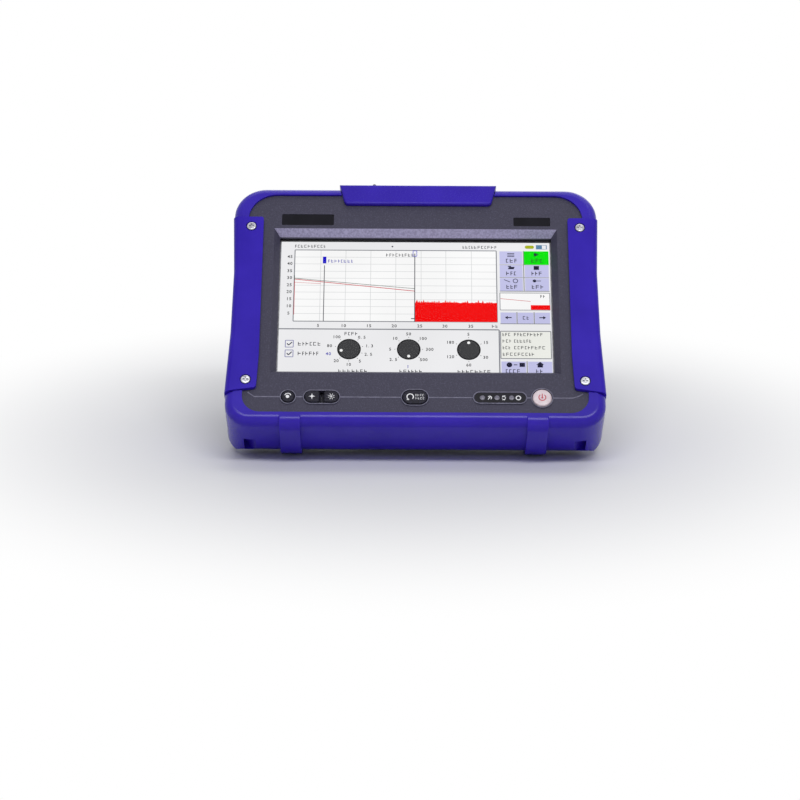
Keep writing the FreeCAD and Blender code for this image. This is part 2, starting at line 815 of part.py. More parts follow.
pad(bezel, "rims", "XZ", -d.rim_proud, 0.5, *key_wells(d.rim_wide))
pocket(bezel, "key_holes", "XZ", -d.rim_proud - 1, d.front_wall + 1, *key_wells(size(0)))

# bare recesses for two name plates
plate_base = d.bevel_high + d.plate_gap
left_plate = d.left_plate_inset - d.bevel_half
right_plate = d.bevel_half - d.right_plate_inset
pocket(bezel, "plate_recess", "XZ", 0, d.plate_recess,
       rectangle(left_plate, left_plate + d.left_plate_wide,
                 plate_base, plate_base + d.left_plate_tall, 0.6),
       rectangle(right_plate - d.right_plate_wide, right_plate,
                 plate_base, plate_base + d.right_plate_tall, 0.6))

# screw posts: behind the grip screws, for the case screws, the bracket and the keypad board
grip_posts = [(side * (d.grip_screw_half - 0.4), z)
              for side in (-1, 1) for z in (d.grip_screw_low, d.grip_screw_high)]
case_screw_places = [(side * d.case_screw_half, z)
                     for side in (-1, 1) for z in (d.case_screw_low, d.case_screw_high)]
bracket_post_half = d.lcd_half + d.bracket_post_round + 2.1
screen_middle = (view_low + view_high) / 2
bracket_posts = [(side * bracket_post_half, screen_middle + rise * d.bracket_post_rise)
                 for side in (-1, 1) for rise in (-1, 1)]
keypad_posts = [(side * d.keypad_post_half, d.key_row) for side in (-1, 1)]
lcd_front = d.glass_depth + d.glass_thick + 1.2
bracket_front = lcd_front + d.lcd_thick + d.fit
mat_front = d.front_wall + d.clearance + d.key_flange_thick + d.key_travel + d.clearance
keypad_front = mat_front + d.mat_thick + d.fit
post_start = d.front_wall - 0.5
pad(bezel, "grip_posts", "XZ", post_start, d.split - 4,
    *[disc(x, z, d.post_round) for x, z in grip_posts])
pad(bezel, "case_posts", "XZ", post_start, d.split,
    *[disc(x, z, d.post_round) for x, z in case_screw_places])
pad(bezel, "bracket_posts", "XZ", post_start, bracket_front,
    *[disc(x, z, d.bracket_post_round) for x, z in bracket_posts])
pad(bezel, "keypad_posts", "XZ", post_start, keypad_front,
    *[disc(x, z, d.keypad_post_round) for x, z in keypad_posts])
pocket(bezel, "grip_pilots", "XZ", -1, 12, *[disc(x, z, d.screw_shank) for x, z in screw_places])
pocket(bezel, "case_pilots", "XZ", 9, d.split + 1,
       *[disc(x, z, d.screw_shank) for x, z in case_screw_places])

# ---------------------------------------------------------------- rear cover: a shell with posts

shell = doc.addObject("PartDesign::Body", "rear_block")
pad(shell, "block", "XZ", d.split, d.depth, case_outline(size(0)))
fillet(shell, "back_round", d.edge_round, at_depth(d.depth))
pocket(shell, "heel", "YZ", -d.bumper_low_half, d.bumper_low_half, heel_cut(d.bumper_base))
pocket(shell, "seal_groove", "XZ", d.split, d.split + 1.2,
       case_outline(size(0.7)), case_outline(size(1.7)))
pocket(shell, "port_recess", "XY", d.port_floor, d.bumper_top, rectangle(
    d.port_left, d.port_right, d.port_row - d.port_recess_half, d.port_row + d.port_recess_half,
    4))
port_places = [d.otdr_port, d.meter_port, d.laser_port]
pocket(shell, "port_holes", "XY", d.port_floor - d.wall - 1, d.port_floor + 1,
       *[disc(x, d.port_row, d.thread_round + d.fit) for x in port_places])
tub_half = d.stand_half + 0.4
door_ledge = tub_half + d.tub_cheek + 0.6
door_seat = d.depth - d.door_thick
pocket(shell, "door_window", "XZ", door_seat, d.depth + 1, rectangle(
    -d.door_half - d.fit, d.door_half + d.fit, d.door_low - d.fit, d.door_high + d.fit, 2))
pocket(shell, "door_opening", "XZ", d.split, door_seat + 1, rectangle(
    -door_ledge, door_ledge, d.door_low + 0.4, d.door_high - 0.4))
door_screw_places = [(side * d.door_screw_half, z) for side in (-1, 1)
                     for z in (d.door_low + 6, d.door_high - 6)]
pocket(shell, "door_pilots", "XZ", door_seat - 4, door_seat + 1,
       *[disc(x, z, d.door_screw_shank) for x, z in door_screw_places])
pocket(shell, "screw_wells", "XZ", d.depth - 3, d.depth + 1,
       *[disc(x, z, well_round) for x, z in case_screw_places])
pocket(shell, "screw_holes", "XZ", d.split, d.depth,
       *[disc(x, z, d.screw_shank + 0.1) for x, z in case_screw_places])
grille = [pill(d.speaker_middle, d.speaker_high + step * 4, size(11 - abs(step) * 2), 0.8)
          for step in range(-2, 3)]
pocket(shell, "speaker_grille", "XZ", d.depth - d.wall - 1, d.depth + 1, *grille)

space = doc.addObject("PartDesign::Body", "rear_space")
pad(space, "room", "XZ", d.split - 1, d.depth - d.wall, case_outline(d.wall))
inner_heel = d.heel_round - d.wall
back = d.depth - d.wall
floor = d.bumper_base + d.wall
pocket(space, "heel", "YZ", -d.bumper_low_half, d.bumper_low_half, outline(
    (back - inner_heel - 4, floor - 8), (back + 8, floor - 8),
    (back + 8, floor + inner_heel + 4), (back, floor + inner_heel + 4),
    (back, floor, inner_heel), (back - inner_heel - 4, floor)))
pocket(space, "port_block", "XZ", d.split - 1, d.port_row + d.port_recess_half + d.wall, rectangle(
    d.port_left - d.wall, d.port_right + d.wall, d.port_floor - d.wall, d.bumper_top))
pocket(space, "posts", "XZ", d.split - 1, d.depth, *[disc(x, z, 4) for x, z in case_screw_places])
for side, name in ((-1, "left_ledge"), (1, "right_ledge")):
    pocket(space, name, "XZ", door_seat - 2.2, d.depth, outline(
        (side * door_ledge, d.door_low - d.wall),
        (side * (d.door_half + d.wall), d.door_low - d.wall),
        (side * (d.door_half + d.wall), d.door_high + d.wall),
        (side * door_ledge, d.door_high + d.wall)))

rear_cover = doc.addObject("Part::Cut", "rear_cover")
rear_cover.Base = shell
rear_cover.Tool = space
rear_cover.Label = "rear_cover"
parts.append(rear_cover)

seal = new_body("case_seal")
pad(seal, "ring", "XZ", d.split, d.split + 1.15,
    case_outline(size(0.75)), case_outline(size(1.65)))

# ---------------------------------------------------------------- screws and feet


def screws(name, face, inward, places, head, head_tall, shank, long):
    """Equal pan-head screws along Y: inward is 1 where they go in from the front, -1 from behind."""
    group = new_body(name)
    under_head = face + head_tall * inward
    tip = under_head + long * inward
    slot_floor = face + 0.8 * inward
    head_span = (face, under_head) if inward > 0 else (under_head, face)
    shank_span = (under_head, tip) if inward > 0 else (tip, under_head)
    slot_span = (face, slot_floor) if inward > 0 else (slot_floor, face)
    pad(group, "heads", "XZ", *head_span, *[disc(x, z, head) for x, z in places])
    fillet(group, "domes", head_tall * 0.5, at_depth(face))
    pad(group, "shanks", "XZ", *shank_span, *[disc(x, z, shank) for x, z in places])
    half = head * 0.55
    thin = head * 0.13
    pocket(group, "slot_level", "XZ", *slot_span,
           *[rectangle(x - half, x + half, z - thin, z + thin) for x, z in places])
    pocket(group, "slot_upright", "XZ", *slot_span,
           *[rectangle(x - thin, x + thin, z - half, z + half) for x, z in places])


pilot_shank = d.screw_shank - d.fit
screws("grip_screws", -d.grip_proud - 0.3, 1, screw_places, d.screw_head,
       d.screw_head_tall - d.fit, pilot_shank, d.grip_screw_long)
screws("case_screws", d.depth - 1.3, -1, case_screw_places, d.screw_head,
       d.screw_head_tall + 0.1 - d.fit, pilot_shank, d.case_screw_long)
screws("door_screws", d.depth + 0.2, -1, door_screw_places, d.door_screw_head,
       size(1.2), d.door_screw_shank - d.fit, d.door_screw_long)

feet = new_body("rear_feet")
foot_places = [(side * d.rear_foot_half, z) for side in (-1, 1)
               for z in (d.rear_foot_low, d.rear_foot_high)]
pad(feet, "pads", "XZ", d.depth, d.depth + d.rear_foot_proud,
    *[disc(x, z, d.rear_foot_round) for x, z in foot_places])
fillet(feet, "domes", 0.8, at_depth(d.depth + d.rear_foot_proud))

# ---------------------------------------------------------------- battery door with the stand's tub

door = new_body("battery_door")
tub_floor = d.stand_depth - d.stand_barrel - 0.4
tub_low = d.stand_high - d.stand_long - d.stand_foot_round - 1.2
tub_high = d.stand_high + d.stand_barrel + 0.4
tub_back = tub_floor - d.tub_wall
pad(door, "plate", "XZ", door_seat + d.fit, d.depth, rectangle(
    -d.door_half, d.door_half, d.door_low, d.door_high, 2 - d.fit))
pad(door, "tub", "XZ", tub_back, d.depth, rectangle(
    -tub_half - d.tub_cheek, tub_half + d.tub_cheek, d.door_low + 0.5, d.door_high - 0.5))
pocket(door, "tub_room", "XZ", tub_floor, d.depth + 1, rectangle(
    -tub_half, tub_half, tub_low, tub_high))
pocket(door, "finger_scoop", "XZ", tub_floor + d.tub_wall, d.depth + 1, rectangle(
    -d.stand_half / 4, d.stand_half / 4, d.door_low + 1, tub_low + 6))
pocket(door, "pin_bores", "YZ", -tub_half - 4, tub_half + 4,
       disc(d.stand_depth, d.stand_high, d.stand_pin))
pocket(door, "screw_holes", "XZ", door_seat, d.depth + 1,
       *[disc(x, z, d.door_screw_shank + 0.1) for x, z in door_screw_places])
pocket(door, "screw_seats", "XZ", d.depth - 1, d.depth + 1,
       *[disc(x, z, d.door_screw_head + 0.2) for x, z in door_screw_places])

# ---------------------------------------------------------------- kickstand, folded flat

stand = new_body("kickstand")
foot_high = d.stand_high - d.stand_long
half_thick = d.stand_thick / 2
pad(stand, "plate", "XZ", d.stand_depth - half_thick, d.stand_depth + half_thick, rectangle(
    -d.stand_half, d.stand_half, foot_high + 2, d.stand_high))
pad(stand, "barrel", "YZ", -d.stand_half, d.stand_half,
    disc(d.stand_depth, d.stand_high, d.stand_barrel))
pad(stand, "tongue", "XZ", d.stand_depth - 0.8, d.stand_depth + 0.8, rectangle(
    2 - d.stand_half, d.stand_half - 2, foot_high - 0.6, foot_high + 3))
pocket(stand, "pin_bore", "YZ", -d.stand_half - 1, d.stand_half + 1,
       disc(d.stand_depth, d.stand_high, d.stand_pin + d.pin_run))
rib = size(4)
hollow = (d.stand_half * 2 - rib * 5) / 4
hollow_starts = [(hollow + rib) * step + rib - d.stand_half for step in range(4)]
stand_face = d.stand_depth - half_thick
pocket(stand, "hollows", "XZ", stand_face, stand_face + 1.6, *[
    rectangle(left, left + hollow, foot_high + 8, d.stand_high - 6, 2) for left in hollow_starts])

stand_foot = new_body("stand_foot")
pad(stand_foot, "bead", "YZ", 2 - d.stand_half, d.stand_half - 2,
    disc(d.stand_depth, foot_high, d.stand_foot_round))
pocket(stand_foot, "slot", "XZ", d.stand_depth - 0.8, d.stand_depth + 0.8, rectangle(
    -d.stand_half, d.stand_half, foot_high - 0.6, foot_high + 5))
pocket(stand_foot, "flat", "XY", foot_high + 2, foot_high + 5, rectangle(
    -d.stand_half, d.stand_half, d.stand_depth - 5, d.stand_depth + 5))

stand_pins = new_body("stand_pins")
pin_inner = d.stand_half - d.stand_pin_long + 4
pin_outer = tub_half + 4
pad(stand_pins, "left", "YZ", -pin_outer, -pin_inner,
    disc(d.stand_depth, d.stand_high, d.stand_pin))
pad(stand_pins, "right", "YZ", pin_inner, pin_outer,
    disc(d.stand_depth, d.stand_high, d.stand_pin))

# ---------------------------------------------------------------- connector cover and its pin

cover = new_body("connector_cover")
skirt_back = 0 - d.clearance
skirt_front = skirt_back - d.cover_skirt
plate_low = d.cover_top - d.cover_thick
plate_back = d.hinge_depth - d.hinge_round - 0.4
pad(cover, "block", "XZ", skirt_front, plate_back, outline(
    *[(*corner, 2.5) for corner in cover_outline(0)[:2]], *cover_outline(0)[2:]))
pocket(cover, "under", "XZ", skirt_back, plate_back + 1, rectangle(
    cover_left - 1, cover_right + 1, d.cover_low - 2, plate_low))
fillet(cover, "front_round", 1.2, at_depth(skirt_front))
barrel_left = lug_left + d.lug_long + 0.4
barrel_right = lug_right - d.lug_long - 0.4
pad(cover, "barrel", "YZ", barrel_left, barrel_right,
    disc(d.hinge_depth, d.hinge_high, d.hinge_round))
pad(cover, "neck", "YZ", barrel_left, barrel_right, outline(
    (plate_back - 2, plate_low + 0.2), (d.hinge_depth, plate_low + 0.2),
    (d.hinge_depth, d.hinge_high + d.hinge_round), (plate_back - 2, d.hinge_high + d.hinge_round)))
pocket(cover, "pin_bore", "YZ", cover_left, cover_right,
       disc(d.hinge_depth, d.hinge_high, d.hinge_pin + d.pin_run))

hinge_pin = new_body("cover_hinge_pin")
pad(hinge_pin, "rod", "YZ", lug_left, lug_right, disc(d.hinge_depth, d.hinge_high, d.hinge_pin))

# ---------------------------------------------------------------- sockets in the bay

board_left = d.bay_left + d.ledge_wide + d.clearance
board_right = d.bay_right - d.ledge_wide - d.clearance
board_top = d.bay_floor + d.fit + d.board_thick
socket_row = (d.bay_front + d.bay_back) / 2
socket_board = new_body("socket_board")
pad(socket_board, "sheet", "XY", d.bay_floor + d.fit, board_top, rectangle(
    board_left, board_right, d.bay_front + 0.4, d.bay_back - 0.4))

usb_places = [d.bay_left + 17, d.bay_left + 38]
micro_place = d.bay_right - 28.6
jack_place = d.bay_right - 13.6
usb_sockets = new_body("usb_sockets")
socket_top = board_top + d.socket_tall
pad(usb_sockets, "shells", "XY", board_top, socket_top, *[
    rectangle(x - 7, x + 7, socket_row - 3.5, socket_row + 3.5, 0.6) for x in usb_places])
pocket(usb_sockets, "mouths", "XY", board_top + 1, socket_top, *[
    rectangle(x - 6.3, x + 6.3, socket_row - 2.6, socket_row + 2.6) for x in usb_places])
pad(usb_sockets, "tongues", "XY", board_top + 1, socket_top - 1.5, *[
    rectangle(x - 5.6, x + 5.6, socket_row + 0.5, socket_row + 2.3) for x in usb_places])

micro = new_body("micro_usb_socket")
pad(micro, "shell", "XY", board_top, socket_top, outline(
    (micro_place - 3.1, socket_row - 1.6, 0.6), (micro_place + 3.1, socket_row - 1.6, 0.6),
    (micro_place + 4, socket_row + 1.6, 0.6), (micro_place - 4, socket_row + 1.6, 0.6)))
pocket(micro, "mouth", "XY", board_top + 3, socket_top, rectangle(
    micro_place - 2.8, micro_place + 2.8, socket_row - 1.1, socket_row + 1.1))
pad(micro, "tongue", "XY", board_top + 3, socket_top - 1, rectangle(
    micro_place - 2, micro_place + 2, socket_row - 0.1, socket_row + 0.6))

jack = new_body("power_jack")
pad(jack, "block", "XY", board_top, socket_top, rectangle(
    jack_place - 4.6, jack_place + 4.6, socket_row - 4.6, socket_row + 4.6, 1))
pocket(jack, "bore", "XY", board_top + 1, socket_top, disc(jack_place, socket_row, 3.1))
pad(jack, "pin", "XY", board_top + 1, socket_top - 1.5, disc(jack_place, socket_row, 1))

port_plate = new_body("port_plate")
plate_under = d.bay_floor + d.ledge + d.socket_tall + d.fit
pad(port_plate, "sheet", "XY", plate_under, plate_under + d.plate_thick, rectangle(
    d.bay_left + 0.2, d.bay_right - 0.2, d.bay_front + 0.2, d.bay_back - 0.2, 1.3))
pocket(port_plate, "windows", "XY", plate_under, plate_under + d.plate_thick, *[
    rectangle(x - 7.2, x + 7.2, socket_row - 3.7, socket_row + 3.7, 0.8) for x in usb_places],
    rectangle(micro_place - 4.3, micro_place + 4.3, socket_row - 1.9, socket_row + 1.9, 0.8),
    rectangle(jack_place - 4.8, jack_place + 4.8, socket_row - 4.8, socket_row + 4.8, 1.2))
plate_screw_places = [d.bay_left + 2.2, d.bay_right - 2.2]
pocket(port_plate, "screw_holes", "XY", plate_under, plate_under + d.plate_thick,
       *[disc(x, socket_row, 0.9) for x in plate_screw_places])
pocket(bezel, "plate_pilots", "XY", plate_under - 4, plate_under + 0.1,
       *[disc(x, socket_row, 0.8) for x in plate_screw_places])
plate_screws = new_body("plate_screws")
plate_top = plate_under + d.plate_thick
pad(plate_screws, "heads", "XY", plate_top, plate_top + 0.9,
    *[disc(x, socket_row, 1.6) for x in plate_screw_places])
fillet(plate_screws, "domes", 0.4, at_height(plate_top + 0.9))
pad(plate_screws, "shanks", "XY", plate_under - 3.5, plate_top,
    *[disc(x, socket_row, 0.75) for x in plate_screw_places])

# ---------------------------------------------------------------- optical ports and dust caps

flange_top = d.port_floor + d.flange_thick
barrel_top = flange_top + d.barrel_tall
for place, name in zip(port_places, ("otdr_adapter", "meter_adapter", "laser_adapter")):
    adapter = new_body(name)
    turn(adapter, "profile", place, d.port_row, [
        (0, d.port_floor - 8), (d.thread_round, d.port_floor - 8),
        (d.thread_round, d.port_floor), (d.flange_round, d.port_floor),
        (d.flange_round, flange_top), (d.barrel_round - 0.6, flange_top),
        (d.barrel_round - 0.6, flange_top + 1.2),
        (d.barrel_round, flange_top + 1.2), (d.barrel_round, barrel_top - 0.4),
        (d.barrel_round - 0.4, barrel_top), (d.ferrule_bore, barrel_top),
        (d.ferrule_bore, barrel_top - d.barrel_tall + 0.5), (0, barrel_top - d.barrel_tall + 0.5)])

cap_bore = d.barrel_round + 0.06
cap_low = flange_top + d.clearance
cap_roof = barrel_top + 0.4
nub_start = d.cap_top + 4
for place, name in zip(port_places, ("otdr_cap", "meter_cap", "laser_cap")):
    cap = new_body(name)
    if name == "otdr_cap":
        crown = [(d.cap_round, d.cap_top - 1.5), (d.cap_round - 2, d.cap_top),
                 (d.nub_round + 0.6, nub_start), (d.nub_round, nub_start + 1),
                 (d.nub_round, d.nub_top - 0.4), (d.nub_round - 0.4, d.nub_top), (0, d.nub_top)]
    else:
        crown = [(d.cap_round, d.cap_top - 1.5), (d.cap_round - 1, d.cap_top), (0, d.cap_top)]
    turn(cap, "profile", place, d.port_row, [
        (cap_bore, cap_low), (d.cap_round, cap_low), *crown, (0, cap_roof), (cap_bore, cap_roof)])

# ---------------------------------------------------------------- keys, their mat and board

key_back = d.front_wall + d.clearance


def key(name, cap_wire, flange_wire, dome):
    """A key: a cap that passes the front wall, and a wider flange that stays behind it."""
    body = new_body(name)
    pad(body, "cap", "XZ", -d.rim_proud - d.key_proud, key_back + 0.5, cap_wire)
    fillet(body, "dome", dome, at_depth(-d.rim_proud - d.key_proud))
    pad(body, "flange", "XZ", key_back, key_back + d.key_flange_thick, flange_wire)
    return body


pair_round = d.pair_tall / 2
start_round = d.start_tall / 2
key("menu_key", disc(d.menu_middle, d.key_row, d.menu_round),
    disc(d.menu_middle, d.key_row, d.menu_round + d.key_flange), 1)
key("start_key", pill(d.start_middle, d.key_row, d.start_half, start_round),
    pill(d.start_middle, d.key_row, d.start_half + d.key_flange, start_round + d.key_flange), 1)
key("power_key", disc(d.power_middle, d.key_row, d.power_round),
    disc(d.power_middle, d.key_row, d.power_round + d.key_flange), 1.2)
for side, name in ((-1, "plus_key"), (1, "light_key")):
    inner_edge = d.pair_middle + side * d.pair_space / 2
    outer_edge = d.pair_middle + side * d.pair_half
    key_low = d.key_row - pair_round
    key_high = d.key_row + pair_round
    grow = d.key_flange
    key(name,
        outline((inner_edge, key_low, 1.2), (outer_edge, key_low, pair_round - 0.2),
                (outer_edge, key_high, pair_round - 0.2), (inner_edge, key_high, 1.2)),
        outline((inner_edge - side * grow, key_low - grow, 1),
                (outer_edge + side * grow, key_low - grow, pair_round),
                (outer_edge + side * grow, key_high + grow, pair_round),
                (inner_edge - side * grow, key_high + grow, 1)), 0.9)

lamp_window = new_body("led_window")
pad(lamp_window, "lens", "XZ", -d.rim_proud + 0.1, d.front_wall + d.fit,
    pill(d.lamp_middle, d.key_row, d.lamp_half, d.lamp_tall / 2))
pad(lamp_window, "flange", "XZ", d.front_wall + d.fit, d.front_wall + 1,
    pill(d.lamp_middle, d.key_row, d.lamp_half + 1, d.lamp_tall / 2 + 1))

keypad_left = d.menu_middle - 9
keypad_right = d.power_middle + 10
keypad_low = d.key_row - d.keypad_half_tall
keypad_high = d.key_row + d.keypad_half_tall
lamp_places = [d.lamp_middle + step * d.lamp_step for step in (-1, 0, 1)]
mat = new_body("keypad_mat")
pad(mat, "sheet", "XZ", mat_front, mat_front + d.mat_thick, rectangle(
    keypad_left, keypad_right, keypad_low, keypad_high, 2))
pocket(mat, "holes", "XZ", mat_front, mat_front + d.mat_thick, *[
    disc(x, z, d.keypad_post_round + 0.4) for x, z in keypad_posts], *[
    rectangle(x - 1.8, x + 1.8, d.key_row - 1.8, d.key_row + 1.8) for x in lamp_places])

keypad_board = new_body("keypad_board")
pad(keypad_board, "sheet", "XZ", keypad_front, keypad_front + d.board_thick, rectangle(
    keypad_left, keypad_right, keypad_low, keypad_high, 2))
lamps = new_body("status_lamps")
pad(lamps, "lamps", "XZ", keypad_front - 1.2, keypad_front, *[
    rectangle(x - 1.4, x + 1.4, d.key_row - 1.4, d.key_row + 1.4, 0.3) for x in lamp_places])

# ---------------------------------------------------------------- display stack

touch_panel = new_body("touch_panel")
pad(touch_panel, "glass", "XZ", d.glass_depth, d.glass_depth + d.glass_thick, rectangle(
    -glass_half, glass_half, glass_low, glass_high, 1))
gasket = new_body("lcd_gasket")
gasket_front = d.glass_depth + d.glass_thick + d.fit
pad(gasket, "ring", "XZ", gasket_front, lcd_front - d.fit,
    rectangle(-glass_half + 0.3, glass_half - 0.3, glass_low + 0.3, glass_high - 0.3),
    rectangle(-view_half, view_half, view_low, view_high))
lcd = new_body("lcd_module")
lcd_low = screen_middle - d.lcd_half_tall
lcd_high = screen_middle + d.lcd_half_tall
pad(lcd, "frame", "XZ", lcd_front, lcd_front + d.lcd_thick,
    rectangle(-d.lcd_half, d.lcd_half, lcd_low, lcd_high, 1))
pad(lcd, "driver", "XZ", lcd_front + d.lcd_thick, lcd_front + d.lcd_thick + 0.8,
    rectangle(22.5 - d.lcd_half, d.lcd_half - 72.5, lcd_low + 2, lcd_low + 14))

bracket = new_body("lcd_bracket")
bracket_thick = size(1.2)
bracket_low = lcd_low + 18
bracket_high = lcd_high - 8
pad(bracket, "sheet", "XZ", bracket_front, bracket_front + bracket_thick, rectangle(
    -bracket_post_half - 2.4, bracket_post_half + 2.4, bracket_low, bracket_high, 3))
window_half = bracket_post_half * 0.23
pocket(bracket, "windows", "XZ", bracket_front, bracket_front + bracket_thick, *[
    rectangle(middle - window_half, middle + window_half, bracket_low + 14, bracket_high - 14, 4)
    for middle in (bracket_post_half * -0.55, size(0), bracket_post_half * 0.55)])
pocket(bracket, "screw_holes", "XZ", bracket_front, bracket_front + bracket_thick,
       *[disc(x, z, 1.2) for x, z in bracket_posts])
board_half = d.lcd_half - 0.5
stud_places = [(side * (board_half - 4), screen_middle + rise * 30)
               for side in (-1, 1) for rise in (-1, 1)]
board_front = bracket_front + bracket_thick + 2
pad(bracket, "studs", "XZ", bracket_front + 0.6, board_front,
    *[disc(x, z, 2.2) for x, z in stud_places])

board = new_body("main_board")
board_back = board_front + d.fit + d.board_thick
pad(board, "sheet", "XZ", board_front + d.fit, board_back, rectangle(
    -board_half, board_half, screen_middle - 36, screen_middle + 40, 3))


def part_on_board(across, above, wide, tall):
    """The outline of a part of the main board, by its middle and its size."""
    middle_high = screen_middle + above
    return rectangle(size(across - wide / 2), size(across + wide / 2),
                     middle_high - tall / 2, middle_high + tall / 2)


pad(board, "chips", "XZ", board_back, board_back + 1.5,
    part_on_board(-5, 9, 18, 18), part_on_board(20, 10, 12, 12),
    part_on_board(40, 10, 12, 12), part_on_board(-33, -15, 14, 14))
pad(board, "tall_parts", "XZ", board_back, board_back + 3,
    part_on_board(26, -26, 12, 12), part_on_board(-66, -4, 8, 44),
    *[disc(size(across), screen_middle - 22, 4) for across in (52, 64)])

# ---------------------------------------------------------------- modules, battery and speaker

room_back = d.depth - d.wall - d.clearance
otdr_module = new_body("otdr_module")
pad(otdr_module, "case", "XZ", d.otdr_front, room_back, rectangle(
    -d.module_outer, -d.module_inner, d.otdr_low, d.module_high))
chamfer(otdr_module, "lid_bevel", 1.2, at_depth(d.otdr_front))
meter_module = new_body("meter_module")
pad(meter_module, "case", "XZ", d.meter_front, room_back, rectangle(
    d.module_inner, d.module_outer, d.meter_low, d.module_high))
chamfer(meter_module, "lid_bevel", 1.2, at_depth(d.meter_front))

battery = new_body("battery_pack")
battery_back = tub_back - d.clearance
pad(battery, "block", "XZ", board_back + d.battery_gap, battery_back, rectangle(
    -d.battery_half, d.battery_half, d.battery_low, d.battery_high))
fillet(battery, "cell_round", 4, lambda edge: edge.BoundBox.ZLength > 50)

speaker = new_body("speaker")
pad(speaker, "basket", "XZ", room_back - d.speaker_thick, room_back,
    disc(d.speaker_middle, d.speaker_high, d.speaker_round))
pad(speaker, "magnet", "XZ", room_back - d.speaker_thick - 3, room_back - d.speaker_thick + 1,
    disc(d.speaker_middle, d.speaker_high, d.speaker_round * 0.5))

# ---------------------------------------------------------------- lean it back on its stand

heel_radius = d.heel_round + heel_pad_proud
heel_depth = d.depth - d.heel_round
lift = heel_depth * sine(d.lean) - heel_radius * cosine(d.lean) + heel_radius
hinge_row_high = lift + d.stand_high * cosine(d.lean) - d.stand_depth * sine(d.lean)
stand_slope = arc_cosine((hinge_row_high - d.stand_foot_round) / d.stand_long)
stand_open = stand_slope + d.lean
hinge_row_deep = d.stand_high * sine(d.lean) + d.stand_depth * cosine(d.lean)


STAND_PARTS = ("kickstand", "stand_foot")


def lean_back(part, middle):
    """Lean a sub-part back with the case, or swing it open about the stand's hinge."""
    if part.Label in STAND_PARTS:
        slope = stand_open - d.lean
        deep = hinge_row_deep - (d.stand_depth * cosine(slope) - d.stand_high * sine(slope))
        high = hinge_row_high - (d.stand_depth * sine(slope) + d.stand_high * cosine(slope))
        axis = Vector(1, 0, 0)
    else:
        slope = d.lean
        deep = size(0)
        high = lift
        axis = Vector(-1, 0, 0)
    part.Placement = FreeCAD.Placement(
        Vector(0, deep.number, high.number), FreeCAD.Rotation(axis, slope.number))
    bind(part, "Placement.Rotation.Angle", slope)
    bind(part, "Placement.Base.y", deep - middle)
    bind(part, "Placement.Base.z", high)


def finish():
    """Place the sub-parts, centre them over the origin, check them and write them."""
    for part in parts:
        lean_back(part, 0)
    doc.recompute()
    for thing in doc.Objects:
        if "Invalid" in thing.State or "Error" in thing.State:
            sys.exit(f"{thing.Name} failed: {thing.State}")
    box = FreeCAD.BoundBox()
    for part in parts:
        if part.Shape.isNull() or not part.Shape.isValid():
            sys.exit(f"{part.Label} has no valid shape")
        box.add(part.Shape.optimalBoundingBox(True, False))
    middle = (box.YMin + box.YMax) / 2
    for part in parts:
        lean_back(part, middle)
    doc.recompute()
    os.makedirs("parts", exist_ok=True)
    for part in parts:
        part.Shape.exportStep(f"parts/{part.Label}.step")
    print(f"{len(parts)} sub-parts, stand open {stand_open.number:.2f} degrees")
    print(f"middle {middle:.4f}, lift {lift.number:.4f}, box {box}")


finish()
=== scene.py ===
"""The handheld fibre tester, leaning back on its stand on a pale table."""
import json
import math
import random

import bmesh
import bpy
from mathutils import Matrix, Vector


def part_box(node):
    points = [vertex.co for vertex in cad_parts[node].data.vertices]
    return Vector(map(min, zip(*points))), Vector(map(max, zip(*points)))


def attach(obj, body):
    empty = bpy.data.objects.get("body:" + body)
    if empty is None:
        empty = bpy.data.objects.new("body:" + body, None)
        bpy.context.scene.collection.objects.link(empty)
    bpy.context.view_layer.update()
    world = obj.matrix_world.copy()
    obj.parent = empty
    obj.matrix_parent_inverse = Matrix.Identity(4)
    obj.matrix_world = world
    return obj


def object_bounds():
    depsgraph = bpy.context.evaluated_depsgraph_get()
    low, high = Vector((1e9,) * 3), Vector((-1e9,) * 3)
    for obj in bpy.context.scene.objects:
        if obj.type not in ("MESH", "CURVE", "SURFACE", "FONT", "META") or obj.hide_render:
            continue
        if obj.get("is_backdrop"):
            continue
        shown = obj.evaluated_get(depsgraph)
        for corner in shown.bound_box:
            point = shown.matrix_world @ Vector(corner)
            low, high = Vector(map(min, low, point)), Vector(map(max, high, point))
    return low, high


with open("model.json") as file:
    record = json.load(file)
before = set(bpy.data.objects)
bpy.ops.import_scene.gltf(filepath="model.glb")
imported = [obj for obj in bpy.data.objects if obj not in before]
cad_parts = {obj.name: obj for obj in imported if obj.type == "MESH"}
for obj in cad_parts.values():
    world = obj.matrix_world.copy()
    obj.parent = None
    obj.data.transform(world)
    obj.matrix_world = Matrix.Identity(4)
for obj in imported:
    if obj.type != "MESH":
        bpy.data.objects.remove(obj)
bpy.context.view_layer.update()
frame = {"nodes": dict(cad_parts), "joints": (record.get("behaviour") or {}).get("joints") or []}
scene = bpy.context.scene
scene.view_settings.view_transform = "Standard"

# ---------------------------------------------------------------- the instrument's own directions
# The case leans back, so its pieces are drawn upright in millimetres and then leant back:
# across to the right, deep into the case from its front face, high up its face.
MM = 0.001
axes = {joint["name"]: Vector(joint["axis"]).normalized() for joint in frame["joints"]}
INTO = axes["menu_key_press"]
UP = axes["otdr_cap_slide"]
RIGHT = INTO.cross(UP)
GLASS_DEEP = 6.55
GLASS_HIGH = 81.8
glass_low, glass_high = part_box("touch_panel")
origin = (glass_low + glass_high) / 2 - INTO * GLASS_DEEP * MM - UP * GLASS_HIGH * MM
LEAN = Matrix.Translation(origin) @ Matrix((RIGHT, INTO, UP)).transposed().to_4x4()

